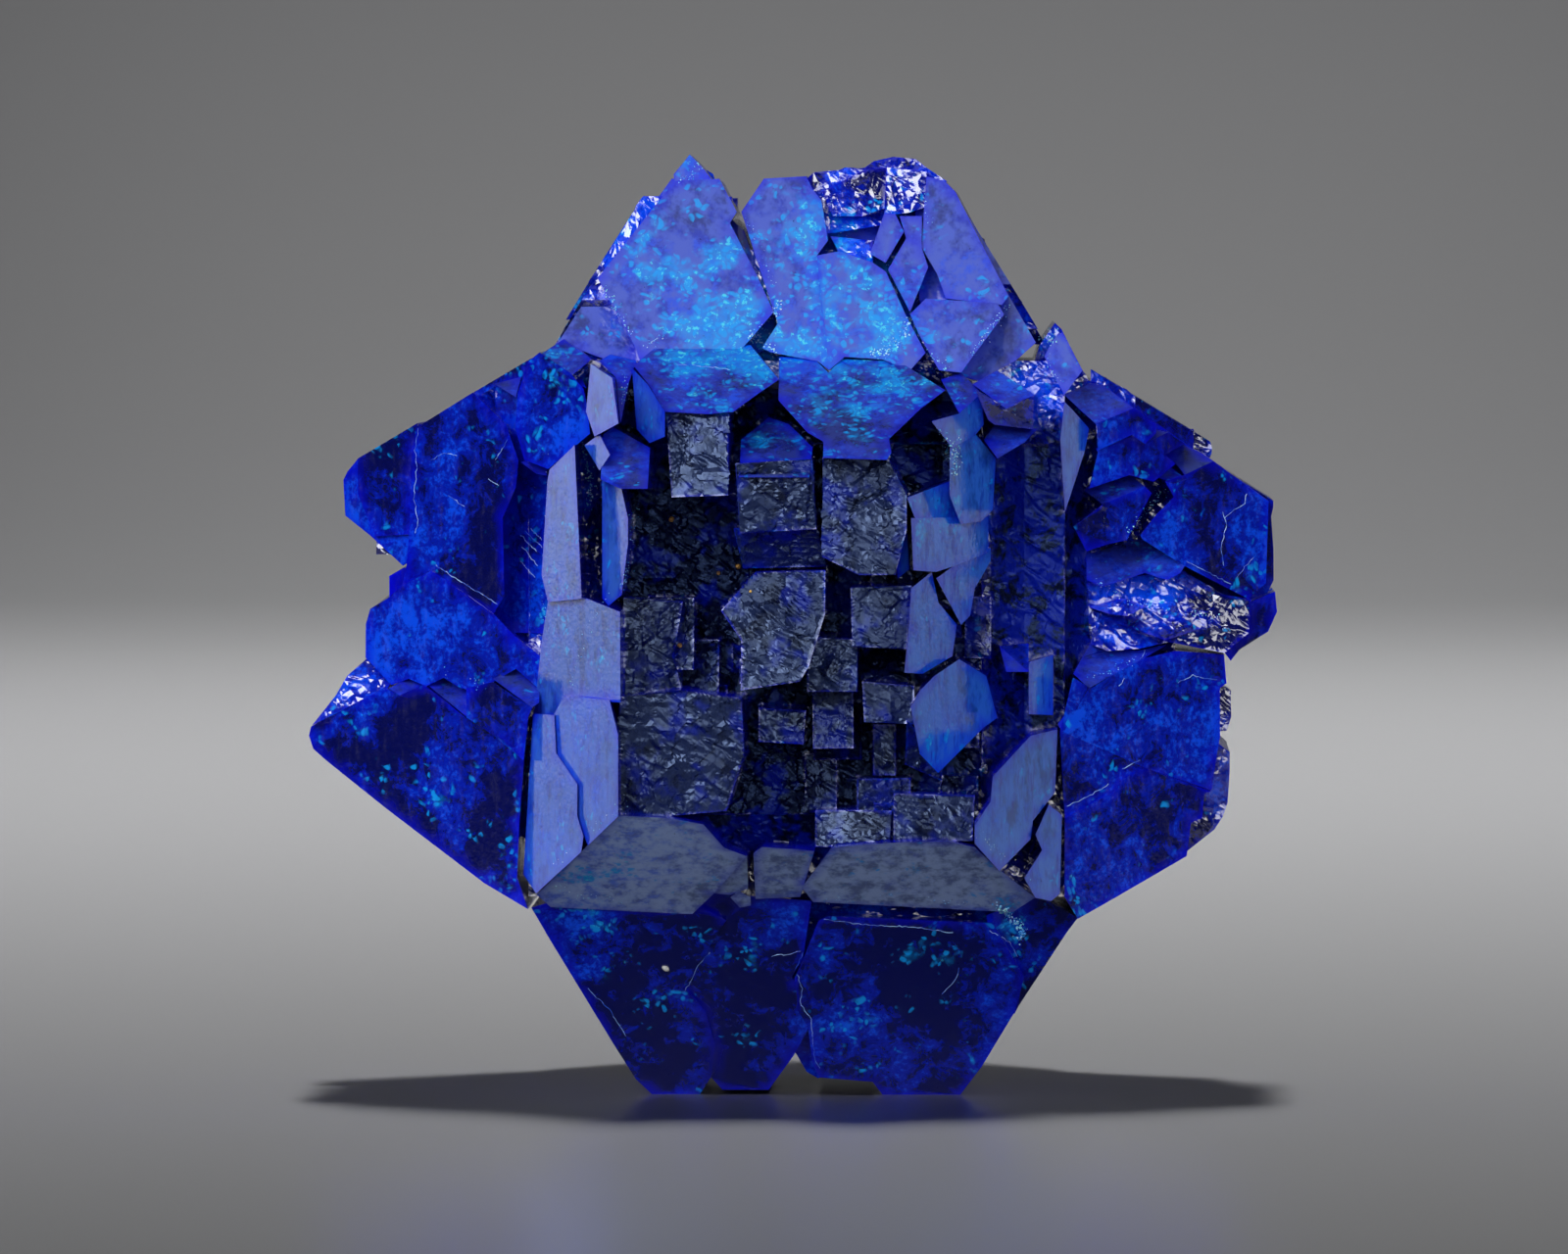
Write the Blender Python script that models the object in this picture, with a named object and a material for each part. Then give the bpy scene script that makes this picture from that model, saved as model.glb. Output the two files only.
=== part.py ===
"""Cumengeite star, a 22 mm group of crystals grown together as one solid.

Metres, +Z up, and the hollow arm faces -Y. Each of the six arms is a four-sided pyramid on a hidden
cube, and its faces lean SLOPE_DEG from the cube's faces. An arm is a mosaic of parallel crystals. Each is
modelled as a prism with the outline that it shows in the front view, cut in front by one crystal face or
by a broken one. All of them are joined into one body. Lists are in millimetres from the centre of the
star: x to the right, z up, and depths towards the viewer.
"""

import math
import random
from collections import namedtuple

import bmesh
import bpy
from mathutils import Matrix, Vector

MM = 0.001
NAME = "cumengeite_star"

# Driving dimensions
CUBE_HALF = 6.2  # half the side of the cube that carries the arms
SLOPE_DEG = 58.5  # from a cube face to a pyramid face
CORE_INSET = 0.55  # the bodies behind the crystals lie this far inside the arms' faces
CORE_ARM_END = 8.5
HOPPER_FLOOR = 5.2  # depth of the broken floor inside the front arm's frame
REST_LEVEL = -10.55  # the lowest tips are worn flat here, and the star stands on them
MOSAIC_DEG = 0.45  # how far one crystal may be turned from the next
FAR = 14.0  # longer than any crystal
FLOOR_BLOCKS = 26  # short broken columns on the hopper's floor
PETALS_PER_FLANK = 4
BACK_FRAME_INNER = 3.6  # half the width of the opening in the back arm's frame
BACK_COLUMNS = 4  # in each direction
NOTCH_LEVEL = 10.5  # how far from the centre the notches in the arms' ends open

LEAN = math.radians(SLOPE_DEG)
STEEP, GENTLE = math.sin(LEAN), math.cos(LEAN)
FACE_DISTANCE = (STEEP + GENTLE) * CUBE_HALF  # from the centre to the plane of any pyramid face

# Normals of the faces that the front view shows. The first four are the fronts of the side arms, the others
# the flanks of the front arm, which smaller crystals on the side arms have too.
FACES = {
    "top": (0, -STEEP, GENTLE),
    "bottom": (0, -STEEP, -GENTLE),
    "left": (-GENTLE, -STEEP, 0),
    "right": (GENTLE, -STEEP, 0),
    "up": (0, -GENTLE, STEEP),
    "down": (0, -GENTLE, -STEEP),
    "west": (-STEEP, -GENTLE, 0),
    "east": (STEEP, -GENTLE, 0),
}

# A crystal's face is a name in FACES, with its height over the ideal face, or the slopes (right, up) of a
# broken surface, with its depth at the outline's middle. A crystal that goes through the arm has a face at
# the back too.
Crystal = namedtuple("Crystal", "name face height outline through", defaults=(False,))
# A step joins two levels. Its face starts on the front of the crystal that it is cut into.
Step = namedtuple("Step", "name face carrier outline")

TOP_ARM = [
    Crystal("top left petal", "top", 0.2, [
        (-4.45, 7.85), (-2.75, 10.05), (-1.75, 10.10), (-1.35, 9.35), (-1.50, 9.10), (-0.85, 7.85),
        (-0.50, 7.10), (-1.05, 6.45), (-1.65, 5.80), (-3.40, 5.80), (-3.60, 6.35)
    ], through=True),
    Crystal("top middle petal", "top", 0.26, [
        (-1.25, 9.35), (-0.75, 10.10), (0.20, 10.15), (0.35, 9.85), (0.55, 9.60), (0.70, 8.70),
        (0.45, 8.35), (0.70, 8.10), (1.00, 6.70), (1.05, 6.05), (0.75, 5.80), (0.50, 6.00),
        (-0.55, 6.20), (-0.75, 6.30), (-0.40, 6.85), (-0.80, 8.00)
    ], through=True),
    Crystal("top centre petal", "top", 0.34, [
        (0.45, 8.35), (0.95, 8.45), (1.70, 8.20), (2.00, 8.00), (2.45, 7.05), (2.90, 6.20),
        (2.55, 5.80), (1.95, 6.05), (1.10, 6.10), (0.75, 5.80), (0.65, 6.70)
    ]),
    Crystal("thin blade", "top", 0.16, [
        (1.95, 9.30), (2.20, 9.30), (2.40, 8.90), (2.00, 8.20), (1.65, 8.40)
    ]),
    Crystal("rhomb blade", "top", 0.1, [
        (2.30, 9.25), (2.80, 9.25), (2.80, 8.55), (2.95, 8.10), (2.55, 7.10), (2.05, 8.05),
        (2.45, 8.75)
    ]),
    Crystal("top right petal", "top", 0.04, [
        (2.85, 9.45), (2.90, 10.15), (3.30, 10.05), (3.55, 9.80), (4.75, 7.45), (4.60, 7.25),
        (3.35, 7.40), (3.15, 7.95), (2.80, 8.55)
    ], through=True),
    Crystal("top right edge", "top", -0.55, [
        (2.65, 10.00), (3.30, 10.05), (5.35, 6.40), (4.90, 6.00), (4.05, 5.55), (3.20, 5.80),
        (2.75, 7.40)
    ], through=True),
    Crystal("lower right petal", "top", 0.3, [
        (2.90, 7.40), (4.50, 7.30), (4.65, 7.05), (3.80, 5.90), (3.70, 5.75), (3.20, 5.80),
        (2.75, 6.60), (2.55, 7.05)
    ]),
    Crystal("top left recess", "top", -1.0, [
        (-5.35, 6.45), (-4.45, 7.85), (-2.85, 10.10), (-2.40, 10.05), (-1.20, 8.90), (-0.35, 6.30),
        (-2.55, 5.80), (-4.30, 6.05)
    ], through=True),
    Crystal("top left cap", "top", -0.35, [
        (-2.80, 10.20), (-2.60, 10.45), (-2.45, 10.65), (-2.30, 10.50), (-2.15, 10.35), (-1.95, 10.10),
        (-2.00, 9.75), (-2.75, 9.75)
    ]),
    Crystal("top backing", "top", -1.33, [
        (-0.55, 8.95), (0.20, 9.50), (2.70, 9.60), (3.65, 7.20), (3.00, 6.55), (-0.15, 6.50)
    ]),
    Crystal("ledge under the cap", (0.1, 0.35), 3.65, [
        (0.55, 9.80), (1.50, 10.30), (2.00, 10.35), (2.00, 9.45), (1.45, 9.25), (0.80, 9.25),
        (0.70, 9.45)
    ]),
    Crystal("upper broken block", (-0.1, 0.25), 3.8, [
        (2.00, 10.35), (2.90, 10.25), (2.90, 9.45), (2.25, 9.30), (1.95, 9.30)
    ]),
    Crystal("lower broken block", (0.15, 0.5), 4.5, [
        (0.75, 8.80), (1.70, 8.70), (1.70, 8.20), (0.95, 8.40)
    ]),
    Crystal("broken top", (0.05, 0.45), 3.0, [
        (0.20, 10.10), (0.35, 10.25), (1.50, 10.35), (1.70, 10.50), (2.15, 10.60), (2.65, 10.55),
        (2.90, 10.35), (3.35, 10.05), (3.10, 9.25), (0.35, 8.80)
    ], through=True),
    Crystal("corner crystal", "top", -0.35, [
        (5.55, 6.10), (5.65, 6.30), (5.80, 6.55), (5.95, 6.65), (6.40, 5.80), (6.00, 5.25),
        (5.70, 5.80)
    ]),
    Crystal("corner crystal back", (0.25, 0.5), 3.4, [
        (5.45, 6.35), (5.80, 6.85), (5.95, 6.70), (6.35, 5.90), (6.55, 5.55), (6.75, 5.50),
        (6.10, 5.25), (5.20, 5.60)
    ], through=True),
]
LEFT_ARM = [
    Crystal("left tip petal", "left", -0.1, [
        (-9.90, 3.80), (-8.45, 4.60), (-8.45, 1.65), (-8.85, 1.40), (-9.60, 2.05), (-10.20, 2.50),
        (-10.25, 3.30), (-10.15, 3.50)
    ], through=True),
    Crystal("left tip step", "left", 0.02, [
        (-9.90, 3.80), (-8.50, 4.60), (-8.65, 3.45), (-8.70, 2.10), (-9.50, 2.05), (-9.90, 3.00)
    ]),
    Crystal("left main petal", "left", 0.14, [
        (-8.55, 4.50), (-7.25, 5.30), (-6.50, 4.60), (-6.20, 3.80), (-6.25, 3.20), (-6.55, 2.50),
        (-6.50, 0.75), (-6.75, 0.35), (-8.20, 1.30), (-8.85, 0.95), (-8.75, 1.45), (-8.70, 2.10),
        (-8.65, 3.45)
    ], through=True),
    Crystal("left main floor", "left", -0.95, [
        (-7.25, 5.30), (-5.95, 6.05), (-5.10, 6.30), (-4.95, 3.65), (-4.75, -0.10), (-6.50, -0.10),
        (-8.50, 1.00), (-8.30, 4.50)
    ], through=True),
    Crystal("left upper wedge", "left", 0.3, [
        (-5.95, 6.00), (-5.70, 6.20), (-5.00, 5.75), (-4.70, 5.40), (-4.60, 4.95), (-4.55, 4.40),
        (-5.50, 3.60), (-6.05, 3.80), (-6.25, 4.50), (-6.20, 5.30)
    ]),
    Crystal("left middle petal", "left", 0.22, [
        (-9.70, 0.05), (-9.60, 0.40), (-9.20, 0.65), (-8.85, 0.95), (-8.20, 1.30), (-6.75, 0.35),
        (-6.30, -0.10), (-5.70, -0.55), (-5.70, -1.30), (-6.25, -0.85), (-6.75, -1.15), (-7.15, -1.40),
        (-7.55, -1.30), (-7.90, -1.10), (-8.30, -1.30), (-8.70, -1.15), (-9.10, -1.30), (-9.70, -0.70)
    ], through=True),
    Crystal("left notch block", "left", -0.45, [
        (-9.20, 1.15), (-8.85, 1.35), (-8.65, 1.20), (-8.70, 0.75), (-9.20, 0.60)
    ]),
    Crystal("left low petal", "left", 0.62, [
        (-10.95, -2.25), (-10.60, -2.05), (-9.75, -1.60), (-9.20, -1.35), (-8.90, -1.50),
        (-8.35, -1.25), (-7.40, -1.95), (-6.80, -2.30), (-5.95, -1.95), (-6.05, -2.90), (-6.15, -4.25),
        (-6.20, -5.50), (-5.95, -6.20), (-6.95, -5.65), (-9.20, -4.05), (-10.60, -3.00),
        (-10.90, -2.75), (-11.00, -2.45)
    ], through=True),
    Crystal("left low inner petal", "left", 0.78, [
        (-7.35, -1.30), (-6.75, -1.15), (-5.85, -1.70), (-5.95, -1.95), (-6.05, -2.90), (-6.50, -2.45),
        (-6.80, -2.30), (-7.35, -1.95)
    ]),
    Crystal("left broken ridge", (-0.25, 0.75), 4.15, [
        (-9.70, -0.70), (-9.10, -1.15), (-9.20, -1.35), (-10.60, -2.05), (-10.90, -2.20),
        (-10.40, -1.55), (-10.15, -1.10)
    ]),
]
BOTTOM_ARM = [
    Crystal("bottom left petal", "bottom", 0.1, [
        (-5.90, -6.20), (-5.50, -6.95), (-4.15, -9.35), (-3.65, -10.20), (-3.15, -10.70),
        (-2.30, -10.70), (-1.95, -10.15), (-1.85, -9.40), (-2.05, -8.60), (-2.55, -8.05),
        (-1.55, -6.50), (-2.55, -5.95), (-4.75, -5.85)
    ], through=True),
    Crystal("bottom middle petal", "bottom", 0.02, [
        (-1.95, -10.15), (-1.70, -10.45), (-0.65, -10.45), (-0.05, -9.60), (0.15, -9.20),
        (0.30, -8.95), (0.05, -8.60), (0.10, -8.20), (-0.10, -7.80), (0.15, -7.40), (0.35, -6.05),
        (-2.10, -5.85), (-2.75, -7.15), (-2.75, -8.30), (-2.15, -8.70)
    ], through=True),
    Crystal("bottom right petal", "bottom", 0.18, [
        (0.75, -6.40), (3.10, -6.50), (4.40, -6.55), (5.10, -7.80), (4.90, -8.60), (4.15, -9.90),
        (3.60, -10.65), (2.00, -10.65), (1.70, -10.25), (0.50, -10.15), (0.35, -9.80), (0.25, -8.95),
        (0.00, -8.55), (0.05, -8.30), (-0.05, -7.85), (0.15, -7.40), (0.50, -6.50)
    ], through=True),
    Crystal("bottom notch block", "bottom", -0.3, [
        (-0.05, -9.60), (0.20, -10.05), (0.45, -10.20), (0.75, -10.15), (0.75, -8.05), (-0.05, -8.95)
    ], through=True),
    Crystal("bottom right corner", "bottom", -0.3, [
        (4.25, -6.40), (5.45, -5.95), (6.30, -6.45), (6.05, -6.80), (5.00, -8.50), (4.90, -8.70),
        (4.50, -7.85)
    ], through=True),
]
RIGHT_ARM = [
    Crystal("right shoulder", "right", 0.36, [
        (6.70, 4.60), (7.55, 4.95), (8.05, 4.60), (8.05, 4.40), (7.80, 4.15), (7.50, 4.35),
        (6.75, 4.00)
    ]),
    Crystal("right first step", "right", 0.2, [
        (6.75, 4.00), (7.55, 4.35), (7.80, 4.15), (8.30, 4.40), (8.70, 4.15), (8.25, 3.90),
        (8.50, 3.70), (8.00, 3.30), (7.45, 3.45), (6.55, 3.15)
    ]),
    Crystal("right back plate", "right", -1.5, [
        (6.00, 5.25), (6.65, 5.50), (7.60, 4.95), (8.65, 4.20), (9.35, 3.70), (10.75, 2.80),
        (10.75, 2.65), (10.70, 2.45), (10.75, 1.70), (10.75, 1.00), (10.50, 0.50), (9.40, 0.35),
        (6.95, 0.55), (6.00, 1.65)
    ], through=True),
    Crystal("right upper petal", "right", 0.16, [
        (8.25, 3.30), (8.70, 3.45), (9.35, 3.75), (10.60, 2.85), (10.55, 1.00), (10.15, 0.65),
        (8.70, 1.40), (7.75, 2.00), (7.70, 2.10), (8.05, 2.55), (8.45, 2.95)
    ]),
    Crystal("right middle step", "right", 0.05, [
        (6.85, 2.80), (7.80, 3.20), (7.95, 3.05), (7.40, 2.00), (6.95, 1.90), (6.50, 1.75),
        (6.20, 2.30)
    ]),
    Crystal("right low petal", "right", 0.22, [
        (6.20, -1.05), (6.60, -1.30), (7.10, -1.00), (7.80, -0.65), (8.50, -0.50), (9.60, -0.60),
        (9.65, -1.25), (9.50, -1.35), (9.50, -2.45), (9.40, -3.00), (9.30, -3.65), (7.80, -3.10),
        (7.30, -3.35), (7.05, -3.65), (6.00, -4.20), (5.90, -2.25)
    ], through=True),
    Crystal("right lowest petal", "right", 0.32, [
        (6.00, -4.20), (7.05, -3.65), (7.30, -3.35), (7.80, -3.10), (9.30, -3.65), (9.15, -3.70),
        (9.10, -4.25), (8.85, -4.35), (8.75, -5.10), (6.95, -6.10), (6.30, -6.45), (6.00, -5.95)
    ], through=True),
    Crystal("right end block", "right", 0.05, [
        (9.55, 0.30), (10.15, 0.55), (10.75, 0.80), (10.80, 0.35), (10.60, -0.10), (9.95, -0.50),
        (9.75, -0.75), (9.60, -0.55)
    ], through=True),
    Crystal("right broken band", (0.35, 0.35), 4.75, [
        (6.50, 1.00), (7.85, 1.20), (8.65, 1.30), (9.60, 0.75), (10.20, 0.65), (10.15, -0.10),
        (9.60, -0.55), (8.35, -0.30), (7.70, -0.45), (7.00, -0.50), (6.60, -0.35)
    ], through=True),
    Crystal("right ledge one", (0.05, 0.8), 5.75, [
        (6.55, 0.50), (7.25, 0.70), (7.50, 0.65), (7.80, 0.50), (7.40, 0.30), (7.00, 0.35)
    ]),
    Crystal("right ledge two", (0.2, 0.7), 5.25, [
        (6.85, 0.25), (7.45, 0.30), (7.95, 0.10), (8.65, 0.25), (9.05, 0.00), (8.25, -0.25),
        (7.85, -0.10)
    ]),
    Crystal("upper right flake", (0.2, 0.1), 1.6, [
        (9.30, -1.20), (9.60, -1.35), (9.80, -1.50), (9.80, -2.10), (9.70, -2.40), (9.30, -2.45)
    ]),
    Crystal("lower right flake", (0.5, -0.1), 3.0, [
        (9.05, -2.75), (9.50, -2.65), (9.75, -2.85), (9.75, -3.30), (9.70, -4.00), (9.60, -4.30),
        (9.40, -4.60), (8.75, -5.10), (8.30, -5.10), (8.30, -3.65)
    ], through=True),
]
FRAME = [
    Crystal("west low plate", "west", 0.16, [
        (-5.85, -1.85), (-6.05, -5.45), (-5.75, -5.85), (-4.70, -4.85), (-4.65, -4.50), (-4.80, -4.05),
        (-4.80, -3.35), (-5.30, -2.70), (-5.35, -1.85)
    ]),
    Crystal("west inner plate", "west", 0.08, [
        (-5.35, -1.85), (-5.10, -1.40), (-4.05, -1.45), (-3.85, -2.20), (-3.85, -4.00), (-4.55, -4.70),
        (-4.80, -4.15), (-4.80, -3.35), (-5.30, -2.70)
    ]),
    Crystal("west middle plate", "west", -0.1, [
        (-5.50, 0.65), (-4.70, 0.80), (-3.80, 0.50), (-3.80, -1.50), (-5.10, -1.50), (-5.35, -1.90),
        (-5.85, -1.85), (-5.65, -0.20)
    ]),
    Crystal("west tall column", "west", 0.06, [
        (-5.45, 3.60), (-4.85, 4.15), (-4.80, 3.00), (-4.70, 0.75), (-5.50, 0.65), (-5.65, 1.25),
        (-5.50, 3.35)
    ]),
    Crystal("west inner column", "west", -0.45, [
        (-4.25, 3.40), (-3.80, 3.20), (-3.65, 2.55), (-3.65, 2.00), (-3.80, 0.85), (-4.10, 0.60),
        (-4.25, 0.75)
    ]),
    Crystal("west small column", "west", -0.2, [
        (-4.65, 4.15), (-4.30, 4.40), (-4.05, 3.95), (-4.30, 3.60)
    ]),
    Crystal("west small block", (0.0, 1.63), 8.8, [
        (-4.25, 4.40), (-4.05, 4.55), (-3.20, 4.10), (-3.20, 3.20), (-3.80, 3.20), (-4.25, 3.40)
    ]),
    Crystal("north west column", "west", -0.1, [
        (-4.50, 5.95), (-4.00, 5.65), (-3.85, 4.65), (-4.40, 4.35), (-4.60, 4.90)
    ]),
    Crystal("north west cap", "up", -0.15, [
        (-4.40, 6.00), (-4.15, 6.15), (-3.55, 6.00), (-3.70, 5.55), (-3.85, 4.65), (-4.00, 5.65)
    ]),
    Crystal("north west plate", "up", 0.16, [
        (-3.60, 5.90), (-3.00, 6.40), (-1.00, 6.35), (-0.35, 5.60), (-0.80, 5.30), (-1.35, 4.90),
        (-1.90, 4.85), (-2.85, 4.90), (-3.25, 5.50)
    ]),
    Crystal("north west side", "west", -1.35, [
        (-3.60, 5.85), (-3.25, 5.50), (-2.85, 4.90), (-2.85, 4.35), (-3.20, 4.20), (-3.50, 4.50)
    ]),
    Crystal("north east plate", "up", 0.04, [
        (-0.35, 6.10), (0.40, 6.10), (0.75, 5.75), (1.05, 6.05), (2.30, 6.00), (3.35, 5.35),
        (2.80, 4.95), (2.10, 4.30), (2.15, 4.00), (2.05, 3.85), (0.65, 3.90), (0.65, 4.25),
        (0.30, 4.45), (-0.35, 5.15)
    ]),
    Crystal("north east block", "up", -0.2, [(3.25, 5.60), (3.70, 5.75), (4.15, 5.30), (3.65, 4.85)]),
    Crystal("north east side", "east", -1.0, [
        (3.65, 4.85), (4.15, 5.30), (4.20, 4.60), (4.00, 4.35), (3.50, 4.10), (3.05, 4.70)
    ]),
    Crystal("east cap", "up", -0.05, [(3.95, 5.50), (4.50, 5.80), (5.35, 5.25), (4.70, 4.95)]),
    Crystal("east cap front", (0.1, -0.5), 7.9, [
        (4.00, 5.40), (4.70, 5.00), (5.30, 5.25), (5.30, 4.50), (4.45, 4.60), (4.30, 4.70)
    ]),
    Crystal("east lower cap", "up", -1.1, [
        (4.20, 4.25), (4.45, 4.60), (5.40, 4.50), (5.10, 4.20), (4.50, 3.85)
    ]),
    Crystal("east outer column", "east", 0.25, [
        (6.00, 5.10), (6.15, 4.95), (6.55, 4.50), (6.45, 4.00), (6.00, 2.65), (5.90, 4.25)
    ]),
    Crystal("east first plate", "east", -1.1, [
        (3.45, 4.15), (4.00, 4.40), (4.45, 3.85), (4.40, 2.70), (4.15, 2.45), (3.70, 2.40),
        (3.45, 3.05)
    ]),
    Crystal("east wedge", "east", -1.45, [
        (2.50, 3.00), (3.45, 3.35), (3.70, 2.50), (3.50, 2.05), (2.70, 2.50)
    ]),
    Crystal("east second plate", "east", -1.28, [
        (2.60, 2.55), (4.30, 2.55), (4.30, 1.75), (3.65, 1.50), (3.15, 1.35), (2.65, 1.40)
    ]),
    Crystal("east third plate", "east", -1.48, [
        (3.05, 1.35), (3.20, 0.65), (3.60, 0.15), (3.50, -0.55), (2.85, -0.90), (2.45, -0.85),
        (2.55, 0.15), (2.60, 1.00)
    ]),
    Crystal("east fourth plate", "east", -1.36, [
        (3.65, 1.55), (4.35, 1.85), (4.35, 1.55), (4.00, 0.95), (3.90, 0.35), (3.70, 0.15),
        (3.15, 1.20)
    ]),
    Crystal("east cracked plate", "east", -1.18, [
        (3.10, -0.95), (3.65, -0.60), (4.25, -1.00), (4.50, -1.95), (4.20, -2.15), (3.20, -3.10),
        (2.80, -2.65), (2.60, -1.60), (2.80, -1.25)
    ]),
    Crystal("east low plate", "east", 0.14, [
        (5.25, -2.30), (5.85, -2.20), (5.80, -3.60), (5.30, -4.20), (5.25, -4.60), (4.55, -5.25),
        (4.00, -4.60), (4.00, -4.20), (4.35, -3.70), (4.40, -3.15)
    ]),
    Crystal("east corner plate", "east", 0.22, [
        (5.65, -3.85), (5.95, -4.10), (5.90, -5.85), (5.70, -6.00), (5.35, -5.90), (5.10, -5.45),
        (5.50, -4.85), (5.35, -4.50)
    ]),
    Crystal("east stub", (0.0, 1.63), 6.9, [(4.55, -0.35), (5.20, -0.30), (5.20, -0.90), (4.70, -0.90)]),
    Crystal("east stub side", "east", -0.35, [(5.20, -0.70), (5.75, -0.55), (5.75, -1.90), (5.20, -1.85)]),
    Crystal("south west plate", "down", 0.14, [
        (-3.90, -4.00), (-2.75, -4.05), (-2.00, -4.20), (-1.55, -4.75), (-1.05, -4.95), (-1.80, -5.85),
        (-2.30, -6.35), (-5.45, -6.20), (-5.75, -5.90), (-4.70, -4.85)
    ]),
    Crystal("south small plate", "down", 0.05, [
        (-1.75, -5.15), (-1.05, -4.95), (-1.05, -5.75), (-1.45, -5.90), (-1.85, -5.85)
    ]),
    Crystal("south chip", "down", 0.1, [
        (-1.45, -5.95), (-1.25, -5.80), (-1.00, -5.95), (-1.00, -6.15), (-1.25, -6.20)
    ]),
    Crystal("south middle plate", "down", 0.0, [
        (-0.90, -4.90), (-0.70, -4.75), (0.00, -4.80), (0.45, -4.85), (0.10, -5.95), (-0.90, -6.00)
    ]),
    Crystal("south east plate", "down", 0.1, [
        (0.15, -5.70), (0.85, -4.75), (2.10, -4.65), (3.35, -4.60), (4.00, -4.75), (4.50, -5.25),
        (5.35, -5.95), (4.85, -6.30), (0.40, -6.05)
    ]),
]
HOPPER = [
    Crystal("roof column", (-0.15, 0.2), 8.6, [(-2.85, 4.90), (-1.45, 4.90), (-1.45, 3.05), (-2.70, 3.00)]),
    Crystal("ridge column", "up", -1.0, [
        (-1.20, 4.25), (-0.60, 4.75), (-0.15, 4.60), (0.40, 4.10), (0.35, 3.45), (-1.20, 3.45)
    ]),
    Crystal("ridge front", (0.05, -0.1), 8.6, [(-1.30, 3.75), (0.40, 3.85), (0.50, 2.30), (-1.20, 2.20)]),
    Crystal("ridge underside", (0.0, -0.7), 7.8, [
        (-1.35, 2.30), (0.50, 2.30), (0.70, 1.45), (-1.15, 1.40)
    ]),
    Crystal("north east column", (0.1, 0.1), 9.4, [
        (0.65, 3.90), (2.10, 3.85), (2.50, 3.05), (2.50, 2.30), (2.25, 1.30), (1.45, 1.30),
        (0.65, 1.70)
    ]),
    Crystal("strip column", "east", -2.0, [(2.20, 2.25), (2.50, 2.20), (2.55, 1.40), (2.30, 1.20)]),
    Crystal("nearest column", (-0.05, 0.12), 9.5, [
        (-0.85, 1.35), (0.70, 1.40), (0.70, 0.45), (0.35, -0.70), (0.15, -1.05), (-1.15, -1.25),
        (-1.15, -0.15), (-1.60, 0.50)
    ]),
    Crystal("east inner column", (0.2, 0.1), 8.8, [
        (1.25, 1.00), (2.60, 1.05), (2.50, -0.35), (1.30, -0.30)
    ]),
    Crystal("low inner column", (0.1, 0.3), 8.6, [
        (0.30, -0.10), (1.40, -0.15), (1.40, -1.30), (0.30, -1.30)
    ]),
    Crystal("west great wall", (0.12, -0.12), 8.9, [
        (-3.85, -1.40), (-2.50, -1.25), (-1.15, -1.45), (-1.10, -2.70), (-1.50, -3.95), (-2.70, -4.05),
        (-3.85, -4.00)
    ]),
    Crystal("flat inner column", (0.0, 0.25), 7.7, [
        (-0.80, -1.70), (0.25, -1.75), (0.20, -2.50), (-0.80, -2.45)
    ]),
    Crystal("south column", (0.1, 0.2), 7.5, [(0.40, -1.10), (1.30, -1.15), (1.30, -2.60), (0.40, -2.60)]),
    Crystal("south east column", (0.2, 0.15), 7.9, [
        (1.50, -1.10), (2.65, -1.20), (2.70, -2.05), (1.55, -2.00)
    ]),
    Crystal("plate underside", (0.5, -0.5), 7.4, [
        (2.50, -1.95), (3.30, -2.80), (3.25, -3.35), (2.45, -2.95)
    ]),
    Crystal("south east ledge", (0.15, 0.35), 7.7, [
        (2.20, -3.60), (4.00, -3.65), (3.95, -4.65), (2.20, -4.65)
    ]),
    Crystal("south ledge", (-0.1, 0.35), 7.2, [(0.45, -4.00), (2.15, -4.00), (2.10, -4.80), (0.45, -4.80)]),
    Crystal("west shelf", (0.35, 0.1), 7.4, [
        (-3.80, 0.75), (-2.50, 0.65), (-2.70, -0.55), (-2.50, -1.40), (-3.90, -1.50)
    ]),
]
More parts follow.
